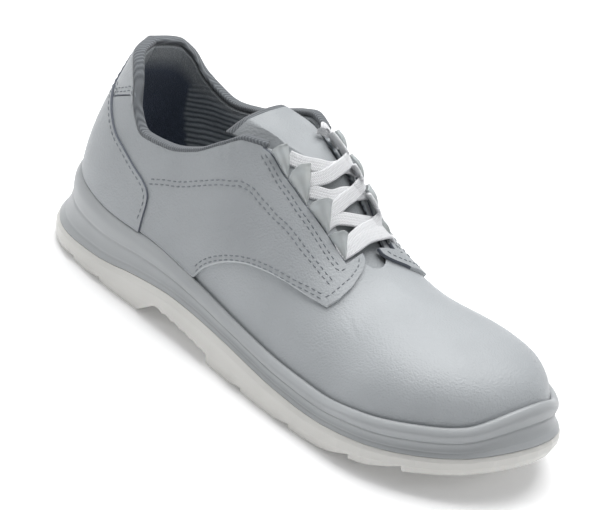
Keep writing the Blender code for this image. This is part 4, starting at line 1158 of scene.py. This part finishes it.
def film(name):
    """Cast polyurethane film: milky, translucent and glossy."""
    made, tree, shader, place = material(name, Roughness=0.25, IOR=1.5, Transmission_Weight=0.45,
                                         Coat_Weight=0.2, Coat_Roughness=0.15)
    tinted(tree, place, shader, "dadfe1", "cfd3d2", 160.0)
    grained(tree, place, shader, 1.4 * MM, 0.02 * MM)
    return made


FILM = film("milky_loop_film")

# Places of the loops on each side, and of the tacks of their film on the outer side.
OUTER_PLACES = [float(ledge_at(np.array(x * UPPER_LENGTH), 1)) for x in LOOP_AT]
INNER_PLACES = [float(ledge_at(np.array(x * UPPER_LENGTH), -1)) for x in LOOP_AT]
TACKS = (0.4290, 0.4690, 0.5130, 0.5590, 0.6030)


def hood(name, node, i, turn):
    """Sail of film from two tacks on the cut edge to a free edge that stands over the ledge."""
    long = np.linspace(0.0, 1.0, 30)[:, None]
    across = np.linspace(0.0, 1.0, 24)[None, :]
    moved = 0.0 if turn > 0 else INNER_PLACES[i] - OUTER_PLACES[i]
    corner = 0.30 * across + 0.10 * across ** 4
    places = TACKS[i] + (TACKS[i + 1] - TACKS[i]) * (0.03 + 0.96 * (long + corner * (1.0 - long)))
    places = places + moved
    around = places if turn > 0 else 2.0 - places
    high = top_up(around)
    low = monotone(CUT_AT, CUT_UP)(places)
    taper = (1.0 - long) ** 0.8
    ledge = low + 0.004 + (high - low) * 0.92 * across * taper
    crest = (1.0 - long) ** 0.6 if turn > 0 else 0.75 * np.sin(np.pi * (0.2 + 0.8 * long)) ** 0.7
    rise = LOOP_RISE * 0.86 * crest * np.sin(0.76 * np.pi * across ** 0.8)
    tips = [off_last(around, ledge, 1.4 * MM + rise), off_last(around, ledge, 0.7 * MM + rise)]
    rim = np.exp(-(long / 0.07) ** 2) + 0.7 * np.exp(-((1.0 - across) / 0.08) ** 2) * (1.0 - long)
    tips[0] = tips[0] + (0.55 * MM * rim)[..., None] * unit(tips[0] - tips[1])
    size = tips[0].shape[:2]
    points = np.concatenate([tip.reshape(-1, 3) for tip in tips])
    skin = quads(*size).reshape(-1, 4).tolist()
    skin += quads(*size, first=size[0] * size[1], turned=True).reshape(-1, 4).tolist()
    index = np.arange(size[0] * size[1]).reshape(size)
    rims = [index[0], index[:, -1], index[-1, ::-1], index[::-1, 0]]
    loop = np.concatenate([line[:-1] for line in rims])
    below = loop + size[0] * size[1]
    for k in range(len(loop)):
        n = (k + 1) % len(loop)
        skin.append([int(loop[k]), int(loop[n]), int(below[n]), int(below[k])])
    piece = mesh_piece(name, points, skin, [FILM])
    outward(piece)
    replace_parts(piece, node)


for i in range(4):
    hood("loop_hood_outer_%d" % (i + 1), "lace_loop_outer_%d" % (i + 1), i, 1)
    hood("loop_hood_inner_%d" % (i + 1), "lace_loop_inner_%d" % (i + 1), i, -1)


# Laces: one flat knitted lace, 7.5 mm wide, crossed from loop to loop. Its ends stop inside at
# the top loops. Each crossing is a ribbon with five ribs along it.
def lace_cloth(name):
    """Tubular polyester braid, pressed flat: white, dull, in a fine herringbone along the lace."""
    made, tree, shader, _ = material(name, Roughness=0.85, Sheen_Weight=0.2, Sheen_Roughness=0.4)
    run = add(tree, "ShaderNodeUVMap", uv_map="run")
    along = add(tree, "ShaderNodeSeparateXYZ", [(run.outputs["UV"], "Vector")])
    fold = add(tree, "ShaderNodeMath", [(along.outputs["Y"], 0)], operation="PINGPONG")
    fold.inputs[1].default_value = 0.8
    slant = total(tree, along.outputs["X"], fold.outputs[0])
    turns = add(tree, "ShaderNodeMath", [(slant, 0)], operation="MULTIPLY")
    turns.inputs[1].default_value = 2.0 * math.pi / 0.9
    wave = add(tree, "ShaderNodeMath", [(turns.outputs[0], 0)], operation="SINE")
    bumped(tree, shader, wave.outputs[0], 0.7, 0.12 * MM)
    level = add(tree, "ShaderNodeMapRange", [(wave.outputs[0], "Value")], From_Min=-1.0, From_Max=1.0)
    tree.links.new(two_tints(tree, level.outputs["Result"], "d2d4d6", "ebebed"), shader.inputs["Base Color"])
    return made


LACE_CLOTH = lace_cloth("white_flat_braid")


def over_throat(place, side, lift):
    """Point above the throat: place along it, across in tongue half widths, and up in mm."""
    place, side = np.asarray(place, float), np.asarray(side, float)
    return crown_bridge(place, side) + (np.asarray(lift, float) * MM)[..., None] * np.array([0.0, 0.0, 1.0])


def lengths(points):
    """Length run along a row of points, at each of them."""
    return np.concatenate([[0.0], np.cumsum(np.linalg.norm(np.diff(points, axis=0), axis=1))])


def smooth_path(points, count):
    """Evenly spaced points on a smooth curve through a few."""
    points = np.asarray(points, float)
    step = lengths(points)
    curves = [monotone(step, points[:, k]) for k in range(points.shape[1])]
    fine = np.linspace(0.0, step[-1], count)
    return np.stack([curve(fine) for curve in curves], -1)


def ribbon(name, path, up, width=6.9 * MM, thick=1.5 * MM):
    """Flat lace along a path; up is the way that its face looks at each point."""
    path, up = np.asarray(path, float), np.asarray(up, float)
    run = unit(np.gradient(path, axis=0))
    up = unit(up - (up * run).sum(axis=1, keepdims=True) * run)
    across = np.cross(run, up)
    section, where = [], []
    for k in range(33):
        u = -1.0 + k / 16.0
        rib = 0.10 * MM * abs(math.cos(2.5 * math.pi * u))
        edge = math.sqrt(max(0.0, 1.0 - abs(u) ** 6))
        section.append((0.5 * width * u, (0.5 * thick + rib) * edge))
        where.append(0.5 * width * u / MM)
    section += [(a, -b) for a, b in section[-2:0:-1]]
    where += where[-2:0:-1]
    grid = np.stack([path + a * across + b * up for a, b in section], 1)
    length = lengths(path) / MM
    count = grid.shape[1]
    faces = quads(len(grid), count, wrap_columns=True).reshape(-1, 4).tolist()
    faces.append(list(range(count))[::-1])
    faces.append([(len(grid) - 1) * count + i for i in range(count)])
    piece = mesh_piece(name, grid.reshape(-1, 3), faces, [LACE_CLOTH], merge=1e-7)
    layer = piece.data.uv_layers.new(name="run")
    table = [(length[i // count], where[i % count]) for i in range(len(grid) * count)]
    for corner in piece.data.loops:
        layer.data[corner.index].uv = table[min(corner.vertex_index, len(table) - 1)]
    outward(piece)
    return piece


# What one unit of place, side, lift and twist weighs in mm, where marks are spaced evenly.
MARK_SIZES = np.array([400.0, 19.0, 1.0, 6.0])


def crossing(name, marks, count=110, stand=0.0):
    """Lace over the throat through marks of place, side, lift and twist on to its edge.

    Stand is how far in mm its inner end stands off the inner ledge, over the hood there."""
    marks = smooth_path(np.array(marks) * MARK_SIZES, count) / MARK_SIZES
    place, side, lift, twist = marks[:, 0], marks[:, 1], marks[:, 2], marks[:, 3:]
    path = over_throat(place, side, lift)
    soften(path, 140)
    raised = np.interp(np.arange(count), (0.55 * count, 0.85 * count), (0.0, stand))[:, None]
    path = path + raised * MM * np.array([0.53, -0.72, 0.45])
    small = 0.004
    ahead = over_throat(place + small, side, lift) - over_throat(place - small, side, lift)
    over = over_throat(place, side + 0.02, lift) - over_throat(place, side - 0.02, lift)
    up = np.cross(ahead, over)
    up = unit(up * np.where(up[:, 2:3] < 0.0, -1.0, 1.0))
    outside = unit(np.cross(np.gradient(path, axis=0), np.array([0.0, 0.0, 1.0])))
    soften(up, 150)
    return ribbon(name, path, (1.0 - twist) * up + twist * outside)


# Marks of the crossings, each a row of place, side, lift and twist from the outer to the inner
# side: first the three that pass under, then the three over them, the bar and the folded end.
UNDER = [
    [(0.4545, -0.88, 3.8, 0.0), (0.4728, -0.767, 4.0, 0.0), (0.4981, -0.486, 4.2, 0.0),
     (0.5156, 0.047, 3.6, 0.0), (0.505, 0.55, 4.0, 0.0), (0.4952, 0.90, 4.3, 0.0)],
    [(0.508, -0.90, 3.6, 0.0), (0.5270, -0.622, 4.1, 0.0), (0.5419, -0.166, 3.7, 0.0),
     (0.540, 0.35, 3.8, 0.0), (0.5215, 0.98, 4.3, 0.0)],
    [(0.551, -0.90, 3.6, 0.0), (0.5540, -0.602, 4.1, 0.0), (0.5623, -0.321, 3.9, 0.0),
     (0.573, 0.134, 3.7, 0.0), (0.5691, 0.676, 4.1, 0.0), (0.560, 0.98, 4.3, 0.0)]]
OVER = [
    [(0.495, -0.90, 4.0, 0.0), (0.5100, -0.593, 4.2, 0.0), (0.5215, -0.234, 5.0, 0.0),
     (0.5166, 0.25, 5.8, 0.02), (0.492, 0.773, 7.2, 0.12), (0.4777, 0.95, 8.0, 0.26),
     (0.4602, 0.90, 8.0, 0.30), (0.4524, 0.773, 6.2, 0.30)],
    [(0.538, -0.90, 4.0, 0.0), (0.5460, -0.68, 4.1, 0.0), (0.5506, -0.312, 4.6, 0.0),
     (0.548, 0.15, 5.4, 0.02), (0.528, 0.70, 6.6, 0.12), (0.512, 1.0, 7.5, 0.26),
     (0.501, 0.98, 8.0, 0.30), (0.4942, 0.87, 7.0, 0.30)],
    [(0.584, -0.90, 4.0, 0.0), (0.5950, -0.496, 4.4, 0.0), (0.5944, -0.137, 5.0, 0.0),
     (0.5866, 0.328, 5.6, 0.02), (0.565, 0.90, 6.6, 0.12), (0.548, 1.10, 7.4, 0.26),
     (0.538, 1.08, 7.6, 0.30), (0.530, 0.95, 7.0, 0.30)]]
BAR = [(0.594, -0.90, 3.8, 0.0), (0.6010, -0.544, 4.6, 0.0), (0.6041, -0.128, 5.2, 0.0),
       (0.5964, 0.454, 5.8, 0.0), (0.580, 1.0, 6.2, 0.0), (0.572, 1.25, 4.8, 0.0), (0.571, 1.34, 3.0, 0.0)]
FOLDED_END = [(0.4494, 1.0, 4.6, 0.0), (0.4494, 0.80, 6.2, 0.0), (0.4514, 0.60, 4.6, 0.0),
              (0.4524, 0.52, 1.6, 0.0)]


def laces():
    for i in range(3):
        under = crossing("lace_under_%d" % (i + 1), UNDER[i])
        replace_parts(under, "lace_cross_%d" % (i + 1))
        crossing("lace_over_%d" % (i + 1), OVER[i], stand=4.5)
    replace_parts(crossing("lace_bar_ribbon", BAR, stand=3.0), "lace_bar")
    crossing("lace_end_inner", FOLDED_END)


laces()


# Stitches: grey polyester thread in rows beside each seam, 2.2 mm long with gaps of 1.1 mm,
# sunk a little into the hide.
def thread(name):
    """Bonded polyester thread: smooth, mid grey, a little shiny."""
    made, tree, shader, place = material(name, Roughness=0.6)
    tinted(tree, place, shader, "82878b", "757a7e", 900.0)
    grained(tree, place, shader, 0.25 * MM, 0.03 * MM)
    return made


THREAD = thread("grey_bonded_thread")

# Five rings of a stitch: place along it, width and sunk share.
STITCH_RINGS = ((-0.5, 0.3, 0.5), (-0.36, 0.9, 0.1), (0.0, 1.0, 0.0), (0.36, 0.9, 0.1), (0.5, 0.3, 0.5))


def seam(name, marks, far, turn=1, shift=0.0, pitch=3.3 * MM, long=2.2 * MM, wide=0.30 * MM):
    """Row of stitches through marks of place around and up, at a height on the upper."""
    marks = np.asarray(marks, float)
    points = last_point(marks[:, 0], marks[:, 1])
    step = lengths(points)
    curves = [monotone(step, marks[:, k]) for k in (0, 1)]
    fine = np.linspace(0.0, step[-1], 600)
    place, up = curves[0](fine), curves[1](fine)
    if shift:
        small = 0.002
        along = (last_point(place + small, up) - last_point(place - small, up)) / (2 * small)
        rise = (last_point(place, up + small) - last_point(place, up - small)) / (2 * small)
        normal = last_normal(place, up)
        way = np.cross(normal, unit(np.gradient(last_point(place, up), axis=0))) * shift
        for k in range(len(place)):
            move = np.linalg.lstsq(np.stack([along[k], rise[k]], 1), way[k], rcond=None)[0]
            place[k] += move[0]
            up[k] += move[1]
    around = place if turn > 0 else 2.0 - place
    path = off_last(around, up, far + 0.06 * MM + creased(around, up))
    normal = last_normal(around, up)
    step = lengths(path)
    count = int((step[-1] - long) / pitch) + 1
    points, faces = [], []
    for i in range(count):
        middle = 0.5 * (step[-1] - (count - 1) * pitch) + i * pitch
        centre = np.array([np.interp(middle, step, path[:, k]) for k in range(3)])
        ahead = np.array([np.interp(middle + 0.4 * long, step, path[:, k]) for k in range(3)])
        way = unit(ahead - centre)
        out = np.array([np.interp(middle, step, normal[:, k]) for k in range(3)])
        over = unit(np.cross(way, out))
        out = np.cross(over, way)
        first = len(points)
        for at, size, sink in STITCH_RINGS:
            for k in range(6):
                angle = math.pi * k / 3.0
                points.append(centre + at * long * way + wide * size * math.cos(angle) * over
                              + wide * (size * math.sin(angle) - sink) * out)
        for r in range(4):
            for k in range(6):
                a, b = first + 6 * r + k, first + 6 * r + (k + 1) % 6
                faces.append([a, b, b + 6, a + 6])
        faces.append([first + k for k in range(6)][::-1])
        faces.append([first + 24 + k for k in range(6)])
    piece = mesh_piece(name, points, faces, [THREAD], merge=1e-8)
    outward(piece)


# Seams on the outer side: places around from the heel and ways up.
SIDE_SEAM = ((0.234, 0.485), (0.273, 0.568), (0.313, 0.609), (0.353, 0.640), (0.389, 0.681), (0.408, 0.703),
             (0.423, 0.698), (0.445, 0.665), (0.490, 0.621), (0.533, 0.622), (0.579, 0.638), (0.608, 0.645))
ARCH_SEAM = ((0.3696, 0.148), (0.3816, 0.212), (0.4026, 0.279), (0.4316, 0.337), (0.4617, 0.375),
             (0.4927, 0.401), (0.5237, 0.435), (0.5548, 0.475), (0.5848, 0.521), (0.6088, 0.551))
FRONT_SEAM = ((0.612, 0.560), (0.618, 0.610), (0.6229, 0.687), (0.6262, 0.770), (0.6235, 0.850),
              (0.616, 0.890))
EYE_SEAM = ((0.4186, 0.880), (0.4296, 0.850), (0.4687, 0.756), (0.5117, 0.711), (0.5578, 0.713),
            (0.5988, 0.721), (0.6078, 0.738), (0.6108, 0.770))
COUNTER_SEAM = ((0.046, 0.800), (0.050, 0.750), (0.062, 0.680), (0.095, 0.630), (0.150, 0.585),
                (0.195, 0.510), (0.232, 0.440), (0.242, 0.385), (0.245, 0.310), (0.243, 0.190))
TAB_PLACES = np.linspace(0.072, 0.140, 12)
TAB_SEAM = np.stack([TAB_PLACES, tab_low(TAB_PLACES)], 1)
for turn, side in ((1, "outer"), (-1, "inner")):
    seam("stitch_side_%s_1" % side, SIDE_SEAM, ON_QUARTER, turn, -1.1 * MM)
    seam("stitch_side_%s_2" % side, SIDE_SEAM, ON_QUARTER, turn, 1.1 * MM)
    seam("stitch_arch_%s_1" % side, ARCH_SEAM, ON_QUARTER, turn, -1.0 * MM)
    seam("stitch_arch_%s_2" % side, ARCH_SEAM, ON_QUARTER, turn, 1.0 * MM)
    seam("stitch_front_%s" % side, FRONT_SEAM, ON_QUARTER, turn)
    seam("stitch_eyelet_%s_1" % side, EYE_SEAM, ON_QUARTER, turn)
    seam("stitch_eyelet_%s_2" % side, EYE_SEAM[:-2], ON_QUARTER, turn, 1.9 * MM)
    seam("stitch_counter_%s" % side, COUNTER_SEAM, ON_COUNTER, turn, -2.0 * MM)
seam("stitch_tab_outer_1", TAB_SEAM, ON_TAB, 1, 1.6 * MM)
seam("stitch_tab_outer_2", TAB_SEAM, ON_TAB, 1, 3.4 * MM)
INNER_TAB = np.stack([TAB_PLACES, tab_low(2.0 - TAB_PLACES)], 1)
seam("stitch_tab_inner", INNER_TAB, ON_TAB, -1, 1.6 * MM)
